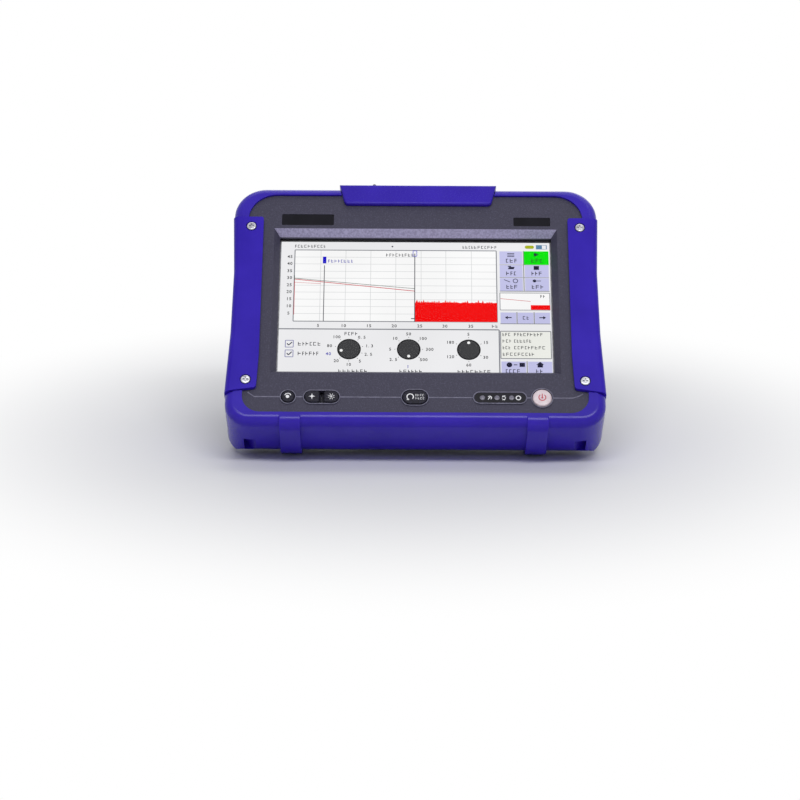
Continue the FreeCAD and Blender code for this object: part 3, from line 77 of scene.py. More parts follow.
# ---------------------------------------------------------------- camera
# A long lens from the front, a little above, square to the instrument. The middle of the
# screen stands a little to the right of the view's middle and above it.
CAMERA_DROP = math.radians(14.6)
CAMERA_ROLL = math.radians(0.3)
CAMERA_AWAY = 1.393
CAMERA_LENS = 112.5
CAMERA_SENSOR = 36
CAMERA_FAR = 60
SCREEN_HIGH = 77.7
SCREEN_RIGHT_OF_VIEW = 0.006
SCREEN_ABOVE_VIEW = 0.0376
ahead = Vector((0, math.cos(CAMERA_DROP), -math.sin(CAMERA_DROP)))
level_up = Vector((0, math.sin(CAMERA_DROP), math.cos(CAMERA_DROP)))
level_right = Vector((1, 0, 0))
sight = ahead + level_right * SCREEN_RIGHT_OF_VIEW + level_up * SCREEN_ABOVE_VIEW
tilt_right = level_right * math.cos(CAMERA_ROLL) + level_up * math.sin(CAMERA_ROLL)
tilt_up = level_up * math.cos(CAMERA_ROLL) - level_right * math.sin(CAMERA_ROLL)
lens = bpy.data.cameras.new("camera")
lens.lens = CAMERA_LENS
lens.sensor_width = CAMERA_SENSOR
lens.clip_end = CAMERA_FAR
camera = bpy.data.objects.new("camera", lens)
scene.collection.objects.link(camera)
screen_middle = LEAN @ (Vector((0, 0, SCREEN_HIGH)) * MM)
stand_point = screen_middle - sight.normalized() * CAMERA_AWAY
turn = Matrix((tilt_right, tilt_up, -ahead)).transposed().to_4x4()
camera.matrix_world = Matrix.Translation(stand_point) @ turn
scene.camera = camera

# ---------------------------------------------------------------- table, room and lamps
# A matt white table that fades into a white room. The key lamp stands high in front, just below
# what the leaning front face mirrors; two weaker ones stand above and far behind.
FLOOR_SHADE = "#E8E8EA"
FLOOR_HALF = 12
FLOOR_BELOW = 0.0002
FADE_NEAR = 0.1
FADE_FAR = 0.32
ROOM_LIGHT = (0.93, 0.95, 1.0, 1)
ROOM_STRENGTH = 0.28
WHITE = (1, 1, 1, 1)


def colour(shade):
    """Linear colour from an sRGB hex value."""
    parts = [int(shade[i:i + 2], 16) / 255 for i in (1, 3, 5)]
    return [p / 12.92 if p <= 0.04045 else ((p + 0.055) / 1.055) ** 2.4 for p in parts] + [1.0]


def add(tree, kind, values, links=None):
    """Add a node to a tree, with its settings and what its sockets take."""
    node = tree.nodes.new(kind)
    for key, value in values.items():
        if isinstance(key, int) or key in node.inputs:
            node.inputs[key].default_value = value
        else:
            setattr(node, key, value)
    for key, source in (links or {}).items():
        tree.links.new(source, node.inputs[key])
    return node


def start(name, shade, roughness, metallic=0.0):
    """A material to build on: the material, its node tree and its shader."""
    material = bpy.data.materials.new(name)
    material.use_nodes = True
    shader = material.node_tree.nodes["Principled BSDF"]
    shader.inputs["Base Color"].default_value = colour(shade)
    shader.inputs["Roughness"].default_value = roughness
    shader.inputs["Metallic"].default_value = metallic
    return material, material.node_tree, shader


def looking(tree):
    """A socket that is 1 where the surface is looked at: straight, through glass or in gloss."""
    rays = add(tree, "ShaderNodeLightPath", {})
    either = add(tree, "ShaderNodeMath", {"operation": "MAXIMUM"},
                 {0: rays.outputs["Is Camera Ray"], 1: rays.outputs["Is Transmission Ray"]})
    seen = add(tree, "ShaderNodeMath", {"operation": "MAXIMUM"},
               {0: either.outputs[0], 1: rays.outputs["Is Glossy Ray"]})
    return seen.outputs[0]


table_top, tree, shader = start("painted table board, matt", FLOOR_SHADE, 0.85)
shader.inputs["Specular IOR Level"].default_value = 0.2
spot = add(tree, "ShaderNodeTexCoord", {})
away = add(tree, "ShaderNodeVectorMath", {"operation": "LENGTH"}, {0: spot.outputs["Object"]})
fade = add(tree, "ShaderNodeMapRange",
           {"interpolation_type": "SMOOTHSTEP", "From Min": FADE_NEAR, "From Max": FADE_FAR},
           {"Value": away.outputs["Value"]})
fade = add(tree, "ShaderNodeMath", {"operation": "MULTIPLY"}, {0: fade.outputs[0], 1: looking(tree)})
white = add(tree, "ShaderNodeEmission", {"Color": WHITE, "Strength": 1.0})
blend = add(tree, "ShaderNodeMixShader", {},
            {0: fade.outputs[0], 1: shader.outputs[0], 2: white.outputs[0]})
tree.links.new(blend.outputs[0], tree.nodes["Material Output"].inputs["Surface"])

mesh = bpy.data.meshes.new("table")
corners = [(-1, -1), (1, -1), (1, 1), (-1, 1)]
mesh.from_pydata([(x * FLOOR_HALF, y * FLOOR_HALF, 0) for x, y in corners], [], [(0, 1, 2, 3)])
mesh.materials.append(table_top)
table = bpy.data.objects.new("table", mesh)
scene.collection.objects.link(table)
table.location.z = -FLOOR_BELOW
table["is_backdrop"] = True

room = bpy.data.worlds.new("room")
scene.world = room
room.use_nodes = True
tree = room.node_tree
background = tree.nodes["Background"]
background.inputs["Color"].default_value = ROOM_LIGHT
background.inputs["Strength"].default_value = ROOM_STRENGTH
white = add(tree, "ShaderNodeBackground", {"Color": WHITE, "Strength": 1.0})
blend = add(tree, "ShaderNodeMixShader", {},
            {0: looking(tree), 1: background.outputs[0], 2: white.outputs[0]})
tree.links.new(blend.outputs[0], tree.nodes["World Output"].inputs["Surface"])


def softbox(name, power, wide, deep, where, target):
    """A soft lamp of that size, aimed at a point."""
    light = bpy.data.lights.new(name, "AREA")
    light.energy = power
    light.shape = "RECTANGLE"
    light.size = wide
    light.size_y = deep
    lamp = bpy.data.objects.new(name, light)
    scene.collection.objects.link(lamp)
    lamp.location = where
    lamp.rotation_euler = (Vector(target) - Vector(where)).to_track_quat("-Z", "Y").to_euler()


softbox("overhead softbox", 2.2, 1.1, 0.5, (0.1, 0.3, 1.1), (0, 0, 0.05))
softbox("key softbox", 8.0, 1.1, 0.22, (0.05, -0.75, 1.07), (0, 0, 0.07))
softbox("back softbox", 2.5, 1.2, 0.6, (0.2, 1.0, 0.8), (0, 0.05, 0.08))

# ---------------------------------------------------------------- front panel
# Moulded PC/ABS, spark-eroded grain: a dark grey-violet face with fine pale specks. The grain
# is half a millimetre, so that it shows; the real one is finer.
PANEL_SHADE = "#393749"
PANEL_SPECK = "#4F4D61"
# painted light: the pale colour of the slope above the display, and of its pits, stands in for a
# reflection
SLOPE_PAINTED_LIGHT = "#B1ABCC"
SLOPE_PAINTED_LIGHT_PIT = "#9590B0"
SLOPE_PITS = 1.0
SLOPE_FORWARD = 0.58
SLOPE_DOWN = 0.815
PANEL_GRAIN = 0.55


def grain(tree, shader, width, height):
    """Raise a grain of that width and height in mm on a surface."""
    spot = add(tree, "ShaderNodeTexCoord", {})
    cloud = add(tree, "ShaderNodeTexNoise", {"Scale": 1 / (width * MM), "Detail": 2.0},
                {"Vector": spot.outputs["Object"]})
    bump = add(tree, "ShaderNodeBump", {"Strength": 1.0, "Distance": height * MM},
               {"Height": cloud.outputs[0]})
    tree.links.new(bump.outputs[0], shader.inputs["Normal"])
    return cloud


def fleck(tree, shader, cloud, shade, speck, first, full):
    """Let a second shade show where the cloud rises from the first level to the full one."""
    rise = add(tree, "ShaderNodeMapRange", {"From Min": first, "From Max": full},
               {"Value": cloud.outputs[0]})
    mix = add(tree, "ShaderNodeMix", {"data_type": "RGBA", 6: colour(shade), 7: colour(speck)},
              {0: rise.outputs[0]})
    tree.links.new(mix.outputs[2], shader.inputs["Base Color"])
    return mix


def dress(material, *nodes):
    """Give CAD nodes a material."""
    for node in nodes:
        piece = frame["nodes"][node]
        if not piece.material_slots:
            piece.data.materials.append(material)
        for slot in piece.material_slots:
            slot.material = material


def panel_plastic(name, shade, speck):
    """The case's plastic: an even tone with pale specks, and the grain of the mould."""
    material, tree, shader = start(name, shade, 0.5)
    shader.inputs["IOR"].default_value = 1.54
    shader.inputs["Specular IOR Level"].default_value = 0.2
    cloud = grain(tree, shader, PANEL_GRAIN, 0.03)
    specks = fleck(tree, shader, cloud, shade, speck, 0.5, 0.72)
    sheen = add(tree, "ShaderNodeMapRange", {"To Min": 0.42, "To Max": 0.62},
                {"Value": cloud.outputs[0]})
    tree.links.new(sheen.outputs[0], shader.inputs["Roughness"])
    return material, tree, shader, specks


bezel_plastic, tree, shader, specks = panel_plastic("moulded PC/ABS, front", PANEL_SHADE, PANEL_SPECK)
# painted reflection: the slope above the display faces forward and down, and is painted paler there,
# with pits
facing = add(tree, "ShaderNodeNewGeometry", {})
turned = add(tree, "ShaderNodeVectorTransform",
             {"vector_type": "NORMAL", "convert_from": "WORLD", "convert_to": "OBJECT"},
             {0: facing.outputs["True Normal"]})
slope_way = (-INTO * SLOPE_FORWARD - UP * SLOPE_DOWN).normalized()
likeness = add(tree, "ShaderNodeVectorMath", {"operation": "DOT_PRODUCT", 1: slope_way},
               {0: turned.outputs[0]})
slope_light_mask = add(tree, "ShaderNodeMapRange", {"From Min": 0.985, "From Max": 0.998},
               {"Value": likeness.outputs["Value"]})
spot = add(tree, "ShaderNodeTexCoord", {})
pits = add(tree, "ShaderNodeTexNoise", {"Scale": 1 / (SLOPE_PITS * MM), "Detail": 2.0},
           {"Vector": spot.outputs["Object"]})
pits = add(tree, "ShaderNodeMapRange", {"From Min": 0.38, "From Max": 0.62},
           {"Value": pits.outputs[0]})
slope = add(tree, "ShaderNodeMix",
            {"data_type": "RGBA", 6: colour(SLOPE_PAINTED_LIGHT_PIT), 7: colour(SLOPE_PAINTED_LIGHT)},
            {0: pits.outputs[0]})
paler = add(tree, "ShaderNodeMix", {"data_type": "RGBA"},
            {0: slope_light_mask.outputs[0], 6: specks.outputs[2], 7: slope.outputs[2]})
tree.links.new(paler.outputs[2], shader.inputs["Base Color"])
dress(bezel_plastic, "front_bezel")

# ---------------------------------------------------------------- ridge along the key row
# A fine bead of PC/ABS, moulded in one with the front panel: it runs from key to key and turns
# up at both ends. It stands proud; its colour, far paler than the panel's, is a painted highlight.
RIDGE_WIDE = 0.7
RIDGE_PROUD = 0.22
RIDGE_SUNK = 0.01
# painted highlight: both ridge colours are far paler than the panel, standing in for the light the
# bead catches
RIDGE_HIGHLIGHT = "#7A788F"
RIDGE_HIGHLIGHT_DIM = "#5F5D73"
RIDGE_ABOVE_ROW = 0.2
RIDGE_LEFT_END = ((-91.5, 2.8), (-89.6, 1.2), (-88, 0))
RIDGE_RIGHT_END = ((86, 0), (88.6, 0.9), (91.5, 2.6))
RIM_OUT = 0.8
KEY_FLANGE = 0.9
LAMP_FLANGE = 1.0
UPRIGHT = LEAN.inverted()


def reach(node):
    """Lowest and highest corner of a CAD node along the instrument's own directions, in mm."""
    corners = [UPRIGHT @ vertex.co / MM for vertex in frame["nodes"][node].data.vertices]
    return [Vector([pick(corner[axis] for corner in corners) for axis in range(3)])
            for pick in (min, max)]


def piece(name, mesh_data, material, body):
    """Put a mesh drawn in the instrument's upright millimetres on a body of the instrument."""
    mesh = bpy.data.meshes.new(name)
    bmesh.ops.recalc_face_normals(mesh_data, faces=mesh_data.faces)
    mesh_data.to_mesh(mesh)
    mesh_data.free()
    mesh.transform(Matrix.Scale(MM, 4))
    mesh.materials.append(material)
    made = bpy.data.objects.new(name, mesh)
    scene.collection.objects.link(made)
    made.matrix_world = LEAN
    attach(made, body)
    return made


def bead(drawing, path, wide, proud):
    """A half-round bead on the front face along (across, high) points."""
    profile = [(-0.5, 0), (-0.32, -0.7), (0, -1), (0.32, -0.7), (0.5, 0)]
    rows = []
    for i, point in enumerate(path):
        before = Vector(path[max(i - 1, 0)])
        after = Vector(path[min(i + 1, len(path) - 1)])
        along = (after - before).normalized()
        side = Vector((-along.y, along.x))
        rows.append([drawing.verts.new((point[0] + side.x * a * wide, b * proud + RIDGE_SUNK,
                                        point[1] + side.y * a * wide)) for a, b in profile])
    for first, second in zip(rows, rows[1:]):
        for j in range(len(profile) - 1):
            drawing.faces.new((first[j], second[j], second[j + 1], first[j + 1]))
    for row in (rows[0], rows[-1]):
        drawing.faces.new(row)


def mottle(tree, shader, pale, dark, patch):
    """Let the colour drift between two shades in patches of that width in mm."""
    spot = add(tree, "ShaderNodeTexCoord", {})
    cloud = add(tree, "ShaderNodeTexNoise", {"Scale": 1 / (patch * MM), "Detail": 3.0},
                {"Vector": spot.outputs["Object"]})
    fleck(tree, shader, cloud, dark, pale, 0.35, 0.65)


ridge_highlight_plastic, tree, shader = start("moulded PC/ABS, ridge", RIDGE_HIGHLIGHT, 0.45)
mottle(tree, shader, RIDGE_HIGHLIGHT, RIDGE_HIGHLIGHT_DIM, 3)
grain(tree, shader, 0.3, 0.01)
holes = {name: reach(name) for name in ("menu_key", "plus_key", "light_key", "start_key",
                                        "led_window", "power_key")}
row_high = (holes["menu_key"][0].z + holes["menu_key"][1].z) / 2
line_high = row_high + RIDGE_ABOVE_ROW


def flange(name):
    """How far a key reaches past its hole behind the panel."""
    return LAMP_FLANGE if name == "led_window" else KEY_FLANGE


def rim_edge(name, side):
    """The ridge's point where the rim round a key ends on its left (0) or right (1) side."""
    return holes[name][side].x + (1 if side else -1) * (RIM_OUT - flange(name)), line_high


runs = [[rim_edge("menu_key", 1), rim_edge("plus_key", 0)],
        [rim_edge("light_key", 1), rim_edge("start_key", 0)],
        [rim_edge("start_key", 1), rim_edge("led_window", 0)],
        [rim_edge("led_window", 1), rim_edge("power_key", 0)],
        [(across, line_high + up) for across, up in RIDGE_LEFT_END] + [rim_edge("menu_key", 0)],
        [rim_edge("power_key", 1)] + [(across, line_high + up) for across, up in RIDGE_RIGHT_END]]
drawing = bmesh.new()
for path in runs:
    bead(drawing, path, RIDGE_WIDE, RIDGE_PROUD)
piece("key_row_ridge", drawing, ridge_highlight_plastic, "case")

# ---------------------------------------------------------------- rims round the keys
# The raised rim of each key hole, moulded with the panel, ends in a rounded lip. It takes the
# ridge's pale colour, a painted highlight along the lip.
LIP_WIDE = 0.54
LIP_PROUD = 0.22
LIP_OUT = 0.55
LIP_STEPS = 48
RIM_FACE = -0.48


def ring(drawing, left, right, low, high, wide, proud, base):
    """A half-round bead on a base, closed round a slot with round ends."""
    radius = (high - low) / 2
    middle = (high + low) / 2
    path = []
    for step in range(LIP_STEPS):
        angle = 2 * math.pi * (step + 0.5) / LIP_STEPS
        end = right - radius if math.cos(angle) > 0 else left + radius
        path.append((end + radius * math.cos(angle), middle + radius * math.sin(angle), angle))
    profile = [(-0.5, 0), (-0.34, -0.75), (0, -1), (0.34, -0.75), (0.5, 0)]
    rows = [[drawing.verts.new((across + math.cos(angle) * a * wide, base + b * proud,
                                up + math.sin(angle) * a * wide)) for a, b in profile]
            for across, up, angle in path]
    for i, first in enumerate(rows):
        second = rows[(i + 1) % len(rows)]
        for j in range(len(profile) - 1):
            drawing.faces.new((first[j], second[j], second[j + 1], first[j + 1]))
        drawing.faces.new((first[-1], second[-1], second[0], first[0]))


drawing = bmesh.new()
for left_key, right_key in (("menu_key", "menu_key"), ("plus_key", "light_key"),
                            ("start_key", "start_key"), ("led_window", "led_window"),
                            ("power_key", "power_key")):
    key_low = holes[left_key][0]
    key_high = holes[right_key][1]
    grow = LIP_OUT - flange(left_key)
    ring(drawing, key_low.x - grow, key_high.x + grow, key_low.z - grow, key_high.z + grow,
         LIP_WIDE, LIP_PROUD, RIM_FACE)
piece("key_rim_lips", drawing, ridge_highlight_plastic, "case")

# ---------------------------------------------------------------- bare name plates
# Two thin black plates of anodised aluminium, left bare, stuck in shallow recesses above
# the display, with a soft bevel round their faces.
PLATE_SHADE = "#0D0C14"
PLATE_PALE = "#14131C"
PLATES = ((-75.8, -46.5, 131.3, 138.5), (55.6, 76.3, 131.3, 136.9))
PLATE_ROUND = 0.5
FACE_ROUND = 0.4
PLATE_BEVEL = 0.25
PLATE_BACK = 0.4
PLATE_SIDE = 0.14
PLATE_FACE = 0.04


def rounded(left, right, low, high, radius, steps=5):
    """The outline of a rounded rectangle, as (across, high) points, anticlockwise."""
    points = []
    corners = [(right - radius, low + radius, -90), (right - radius, high - radius, 0),
               (left + radius, high - radius, 90), (left + radius, low + radius, 180)]
    for across, up, first in corners:
        for step in range(steps + 1):
            angle = math.radians(first + 90 * step / steps)
            points.append((across + radius * math.cos(angle), up + radius * math.sin(angle)))
    return points


def slab(drawing, rings):
    """A closed skin through rings of (points, deep), from the back ring to the front one."""
    rows = [[drawing.verts.new((across, deep, up)) for across, up in points]
            for points, deep in rings]
    count = len(rows[0])
    for first, second in zip(rows, rows[1:]):
        for j in range(count):
            k = (j + 1) % count
            drawing.faces.new((first[j], first[k], second[k], second[j]))
    drawing.faces.new(rows[0])
    drawing.faces.new(rows[-1])


plate_metal, tree, shader = start("anodised aluminium, black", PLATE_SHADE, 0.4)
shader.inputs["Specular IOR Level"].default_value = 0.09
mottle(tree, shader, PLATE_PALE, PLATE_SHADE, 9)
grain(tree, shader, 0.25, 0.006)
drawing = bmesh.new()
for left, right, low, high in PLATES:
    side = rounded(left, right, low, high, PLATE_ROUND)
    face = rounded(left + PLATE_BEVEL, right - PLATE_BEVEL, low + PLATE_BEVEL, high - PLATE_BEVEL,
                   FACE_ROUND)
    slab(drawing, [(side, PLATE_BACK), (side, PLATE_SIDE), (face, PLATE_FACE)])
piece("name_plates_bare", drawing, plate_metal, "case")

# ---------------------------------------------------------------- bumper, grips, heel pads, cover
# Thermoplastic rubber, moulded over the case: a deep violet-blue with a satin skin. It shows a
# broad soft gloss on its round edges, faint flow marks and a very fine skin, which is drawn
# coarser than the real one, so that it shows.
FLOW_MARKS = 28
RUBBER_SKIN = 0.7


def rubber(name, pale, dark, roughness, gloss):
    """Satin rubber with broad flow marks and a fine skin."""
    material, tree, shader = start(name, pale, roughness)
    shader.inputs["IOR"].default_value = 1.5
    shader.inputs["Specular IOR Level"].default_value = gloss
    mottle(tree, shader, pale, dark, FLOW_MARKS)
    skin = grain(tree, shader, RUBBER_SKIN, 0.005)
    sheen = add(tree, "ShaderNodeMapRange",
                {"To Min": roughness - 0.01, "To Max": roughness + 0.03},
                {"Value": skin.outputs[0]})
    tree.links.new(sheen.outputs[0], shader.inputs["Roughness"])
    return material


dress(rubber("TPE rubber, overmoulded", "#351FB3", "#2E18A7", 0.24, 0.24),
      "bumper_frame", "left_heel_pad", "right_heel_pad")
dress(rubber("TPE rubber, moulded grip", "#3721B6", "#2F19A9", 0.3, 0.15), "left_grip", "right_grip")
dress(rubber("TPE rubber, moulded cover", "#3721B3", "#301AA6", 0.26, 0.2), "connector_cover")

# ---------------------------------------------------------------- rear cover and battery door
# The same PC/ABS as the front, moulded with the same grain, a shade greyer and with fainter
# specks. Black screws hold the cover to the front and the door to the cover.
rear_plastic = panel_plastic("moulded PC/ABS, rear", "#403F4D", "#4C4B5A")[0]
dress(rear_plastic, "rear_cover", "battery_door")

# ---------------------------------------------------------------- seals
# Black silicone: an extruded cord pressed between the two halves and a flat gasket round the
# display. Both are matt and a little dusty.
silicone, tree, shader = start("silicone cord, extruded", "#17171A", 0.7)
mottle(tree, shader, "#1E1E22", "#141417", 4)
grain(tree, shader, 0.4, 0.02)
dress(silicone, "case_seal", "lcd_gasket")

# ---------------------------------------------------------------- screws
# Pan-head steel screws: bright nickel in the grips, black zinc at the back. Each head is
# turned, so it carries fine rings that spread its gloss.
RING_HEIGHT = 0.004


def turned_metal(name, shade, dark, roughness, ring):
    """A bright metal with fine turning marks of that spacing in mm."""
    material, tree, shader = start(name, shade, roughness, 1.0)
    mottle(tree, shader, shade, dark, 2.5)
    spot = add(tree, "ShaderNodeTexCoord", {})
    rings = add(tree, "ShaderNodeTexWave",
                {"wave_type": "RINGS", "Scale": 1 / (ring * MM), "Distortion": 2.0},
                {"Vector": spot.outputs["Object"]})
    bump = add(tree, "ShaderNodeBump", {"Strength": 0.4, "Distance": RING_HEIGHT * MM},
               {"Height": rings.outputs[1]})
    tree.links.new(bump.outputs[0], shader.inputs["Normal"])
    gloss = add(tree, "ShaderNodeMapRange",
                {"To Min": roughness - 0.06, "To Max": roughness + 0.1},
                {"Value": rings.outputs[1]})
    tree.links.new(gloss.outputs[0], shader.inputs["Roughness"])
    return material


dress(turned_metal("steel, bright nickel plate", "#C6C6CD", "#95959F", 0.27, 0.5), "grip_screws")
black_zinc = turned_metal("steel, black zinc plate", "#3A3A40", "#26262B", 0.38, 0.5)
dress(black_zinc, "case_screws", "door_screws", "plate_screws")
stainless = turned_metal("stainless steel, ground", "#B9BBBF", "#A3A5AA", 0.3, 0.4)
dress(stainless, "stand_pins", "cover_hinge_pin")

# ---------------------------------------------------------------- kickstand and feet
# The stand is moulded glass-filled nylon, satin black, drifting a little in tone. Its foot and
# the four feet at the back are soft black rubber, matt and a little dusty.
nylon, tree, shader = start("glass-filled nylon, moulded", "#25252D", 0.45)
mottle(tree, shader, "#2B2B34", "#1F1F26", 12)
grain(tree, shader, 0.5, 0.02)
dress(nylon, "kickstand")
foot_rubber, tree, shader = start("soft rubber, moulded", "#1B1B1F", 0.75)
mottle(tree, shader, "#232328", "#17171A", 5)
grain(tree, shader, 0.35, 0.03)
dress(foot_rubber, "stand_foot", "rear_feet")

# ---------------------------------------------------------------- connector bay
# Under the cover: a black anodised plate over nickel-plated sockets with gold contacts, on a
# small green circuit board. Dark traces show through the board's mask as broad patches.
TRACK_PATCH = 6
SOCKET_HALF = 7
CONTACTS = (-3.75, -1.25, 1.25, 3.75)
CONTACT_WIDE = 1.0
CONTACT_LOW = 1.6
CONTACT_HIGH = 1.8
CONTACT_BEVEL = 0.15
CONTACT_TIP = 0.2
CONTACT_ROUND = 0.1
CONTACT_THICK = 0.12
CONTACT_PROUD = 0.08
TONGUE_DEEP = 0.4

board_mask, tree, shader = start("FR4 board, green solder mask", "#14532D", 0.35)
spot = add(tree, "ShaderNodeTexCoord", {})
tracks = add(tree, "ShaderNodeTexBrick",
             {"Scale": 1 / (TRACK_PATCH * MM), "Color1": colour("#1B6B3A"),
              "Color2": colour("#124A28"), "Mortar": colour("#0D3A20"), "Mortar Size": 0.06},
             {"Vector": spot.outputs["Object"]})
tree.links.new(tracks.outputs["Color"], shader.inputs["Base Color"])
bump = add(tree, "ShaderNodeBump", {"Strength": 0.5, "Distance": 0.03 * MM},
           {"Height": tracks.outputs["Fac"]})
tree.links.new(bump.outputs[0], shader.inputs["Normal"])
dress(board_mask, "socket_board", "keypad_board", "main_board")
dress(plate_metal, "port_plate")
dress(turned_metal("steel, nickel-plated shell", "#C6C6C8", "#AEAEB2", 0.28, 0.6),
      "usb_sockets", "micro_usb_socket")
black_nylon, tree, shader = start("nylon, black moulded", "#141416", 0.55)
mottle(tree, shader, "#1A1A1D", "#101012", 3)
grain(tree, shader, 0.3, 0.01)
dress(black_nylon, "power_jack", "speaker")

gold, tree, shader = start("phosphor bronze, gold flash", "#D8A83E", 0.22, 1.0)
mottle(tree, shader, "#DFB04A", "#C99A34", 1.5)
grain(tree, shader, 0.2, 0.003)
usb_low, usb_high = reach("usb_sockets")
tongue = (usb_low.y + usb_high.y) / 2 + TONGUE_DEEP
low = usb_low.z + CONTACT_LOW
high = usb_high.z - CONTACT_HIGH
drawing = bmesh.new()
for middle in (usb_low.x + SOCKET_HALF, usb_high.x - SOCKET_HALF):
    for step in CONTACTS:
        left = middle + step - CONTACT_WIDE / 2
        right = left + CONTACT_WIDE
        sole = rounded(left, right, low, high, CONTACT_ROUND)
        face = rounded(left + CONTACT_BEVEL, right - CONTACT_BEVEL, low + CONTACT_BEVEL,
                       high - CONTACT_TIP, CONTACT_ROUND)
        slab(drawing, [(sole, tongue + CONTACT_THICK), (sole, tongue),
                       (face, tongue - CONTACT_PROUD)])
piece("usb_contacts", drawing, gold, "case")

# ---------------------------------------------------------------- optical ports and dust caps
# Turned brass adapters, nickel plated, under black vinyl caps. The first cap has a long nub
# to pull it by, and its tip shows above the instrument.
dress(turned_metal("brass, nickel-plated adapter", "#D3CFC4", "#B9B4A6", 0.25, 0.45),
      "otdr_adapter", "meter_adapter", "laser_adapter")
vinyl, tree, shader = start("vinyl, dip-moulded cap", "#131316", 0.5)
mottle(tree, shader, "#1B1B1F", "#101013", 4)
grain(tree, shader, 0.5, 0.02)
dress(vinyl, "otdr_cap", "meter_cap", "laser_cap")

# ---------------------------------------------------------------- keys
# Silicone keys with a hard coat, near-black blue with fine grey specks. Their symbols are
# printed in white ink, and the power key is painted pearl pink with a red one.
KEY_SHADE = "#100F19"
KEY_SPECK = "#2E2D40"
INK = 0.03
INK_PROUD = 0.02

key_silicone, tree, shader = start("silicone, hard-coated key", KEY_SHADE, 0.42)
shader.inputs["Specular IOR Level"].default_value = 0.15
cloud = grain(tree, shader, 0.55, 0.02)
fleck(tree, shader, cloud, KEY_SHADE, KEY_SPECK, 0.46, 0.66)
dress(key_silicone, "menu_key", "plus_key", "light_key", "start_key")

power_paint, tree, shader = start("silicone, pearl paint", "#E6D6DC", 0.3)
shader.inputs["Coat Weight"].default_value = 0.4
shader.inputs["Coat Roughness"].default_value = 0.15
mottle(tree, shader, "#EADCE1", "#DCC8D0", 3)
grain(tree, shader, 0.4, 0.006)
dress(power_paint, "power_key")


def disc(across, up, radius, steps=24):
    """The outline of a disc."""
    return [(across + radius * math.cos(2 * math.pi * i / steps),
             up + radius * math.sin(2 * math.pi * i / steps)) for i in range(steps)]


def stroke(start_point, end_point, wide):
    """The outline of a straight stroke."""
    first = Vector(start_point)
    last = Vector(end_point)
    along = (last - first).normalized() * wide / 2
    side = Vector((-along.y, along.x))
    return [tuple(p) for p in (first - side, last - side, last + side, first + side)]


def arc(across, up, radius, wide, first, last, steps=20):
    """The outlines of a curved stroke between two angles in degrees, as short quads."""
    quads = []
    for i in range(steps):
        a = math.radians(first + (last - first) * i / steps)
        b = math.radians(first + (last - first) * (i + 1) / steps)
        quads.append([(across + r * math.cos(t), up + r * math.sin(t))
                      for r, t in ((radius - wide / 2, a), (radius + wide / 2, a),
                                   (radius + wide / 2, b), (radius - wide / 2, b))])
    return quads


def ink(drawing, outlines, deep, thick=INK):
    """Print outlines as a thin film whose face lies at that depth."""
    for points in outlines:
        face = [drawing.verts.new((across, deep, up)) for across, up in points]
        foot = [drawing.verts.new((across, deep + thick, up)) for across, up in points]
        drawing.faces.new(face)
        drawing.faces.new(foot)
        for j in range(len(points)):
            k = (j + 1) % len(points)
            drawing.faces.new((face[j], face[k], foot[k], foot[j]))


def greeked(left, up, tall, letters, seed):
    """Marks that stand for a line of small print: short bars and hooks, no letters."""
    chance = random.Random(seed)
    outlines = []
    across = left
    for _ in range(letters):
        wide = tall * chance.uniform(0.45, 0.8)
        outlines.append(stroke((across, up - tall / 2), (across, up + tall / 2), tall * 0.16))
        for level in (chance.choice((-0.42, 0)), chance.choice((0.05, 0.42))):
            outlines.append(stroke((across, up + tall * level),
                                   (across + wide * 0.8, up + tall * level), tall * 0.15))
        across += wide + tall * 0.3
    return outlines


white_ink, tree, shader = start("screen-printed white ink", "#F2F2F4", 0.45)
mottle(tree, shader, "#F6F6F8", "#E4E4E9", 1.2)
grain(tree, shader, 0.2, 0.005)
red_ink, tree, shader = start("screen-printed red ink", "#C0344C", 0.4)
mottle(tree, shader, "#C93D54", "#B02D44", 1.2)
grain(tree, shader, 0.2, 0.005)


def middle_of(node):
    """The middle of a key across and up its face, and the depth of the print on its face."""
    low, high = reach(node)
    return (low.x + high.x) / 2, (low.z + high.z) / 2, low.y - INK_PROUD


x, z, face = middle_of("menu_key")
drawing = bmesh.new()
ink(drawing, [disc(x - 0.2, z - 0.2, 1.0)], face)
ink(drawing, arc(x, z, 1.75, 0.5, 20, 160), face)
piece("menu_key_symbol", drawing, white_ink, "menu_key_body")

x, z, face = middle_of("plus_key")
drawing = bmesh.new()
for turn in (0, 90, 180, 270):
    tip = [(x, z)]
    for step, far in ((-45, 0.55), (0, 1.9), (45, 0.55)):
        a = math.radians(turn + step)
        tip.append((x + far * math.cos(a), z + far * math.sin(a)))
    ink(drawing, [tip], face)
piece("plus_key_symbol", drawing, white_ink, "plus_key_body")

x, z, face = middle_of("light_key")
drawing = bmesh.new()
ink(drawing, [disc(x, z, 0.5)], face)
for turn in range(0, 360, 45):
    a = math.radians(turn + 22.5)
    ink(drawing, [stroke((x + 0.8 * math.cos(a), z + 0.8 * math.sin(a)),
                         (x + 1.95 * math.cos(a), z + 1.95 * math.sin(a)), 0.28)], face)
piece("light_key_symbol", drawing, white_ink, "light_key_body")

x, z, face = middle_of("start_key")
drawing = bmesh.new()
ink(drawing, arc(x - 2.6, z, 1.75, 0.6, -45, 245), face)
ink(drawing, [[(x - 4.6, z - 1.9), (x - 3.0, z - 2.0), (x - 3.9, z - 0.7)]], face)
ink(drawing, greeked(x + 0.4, z + 1.0, 1.3, 4, 3), face)
ink(drawing, greeked(x + 0.4, z - 1.0, 1.3, 4, 5), face)
piece("start_key_symbol", drawing, white_ink, "start_key_body")

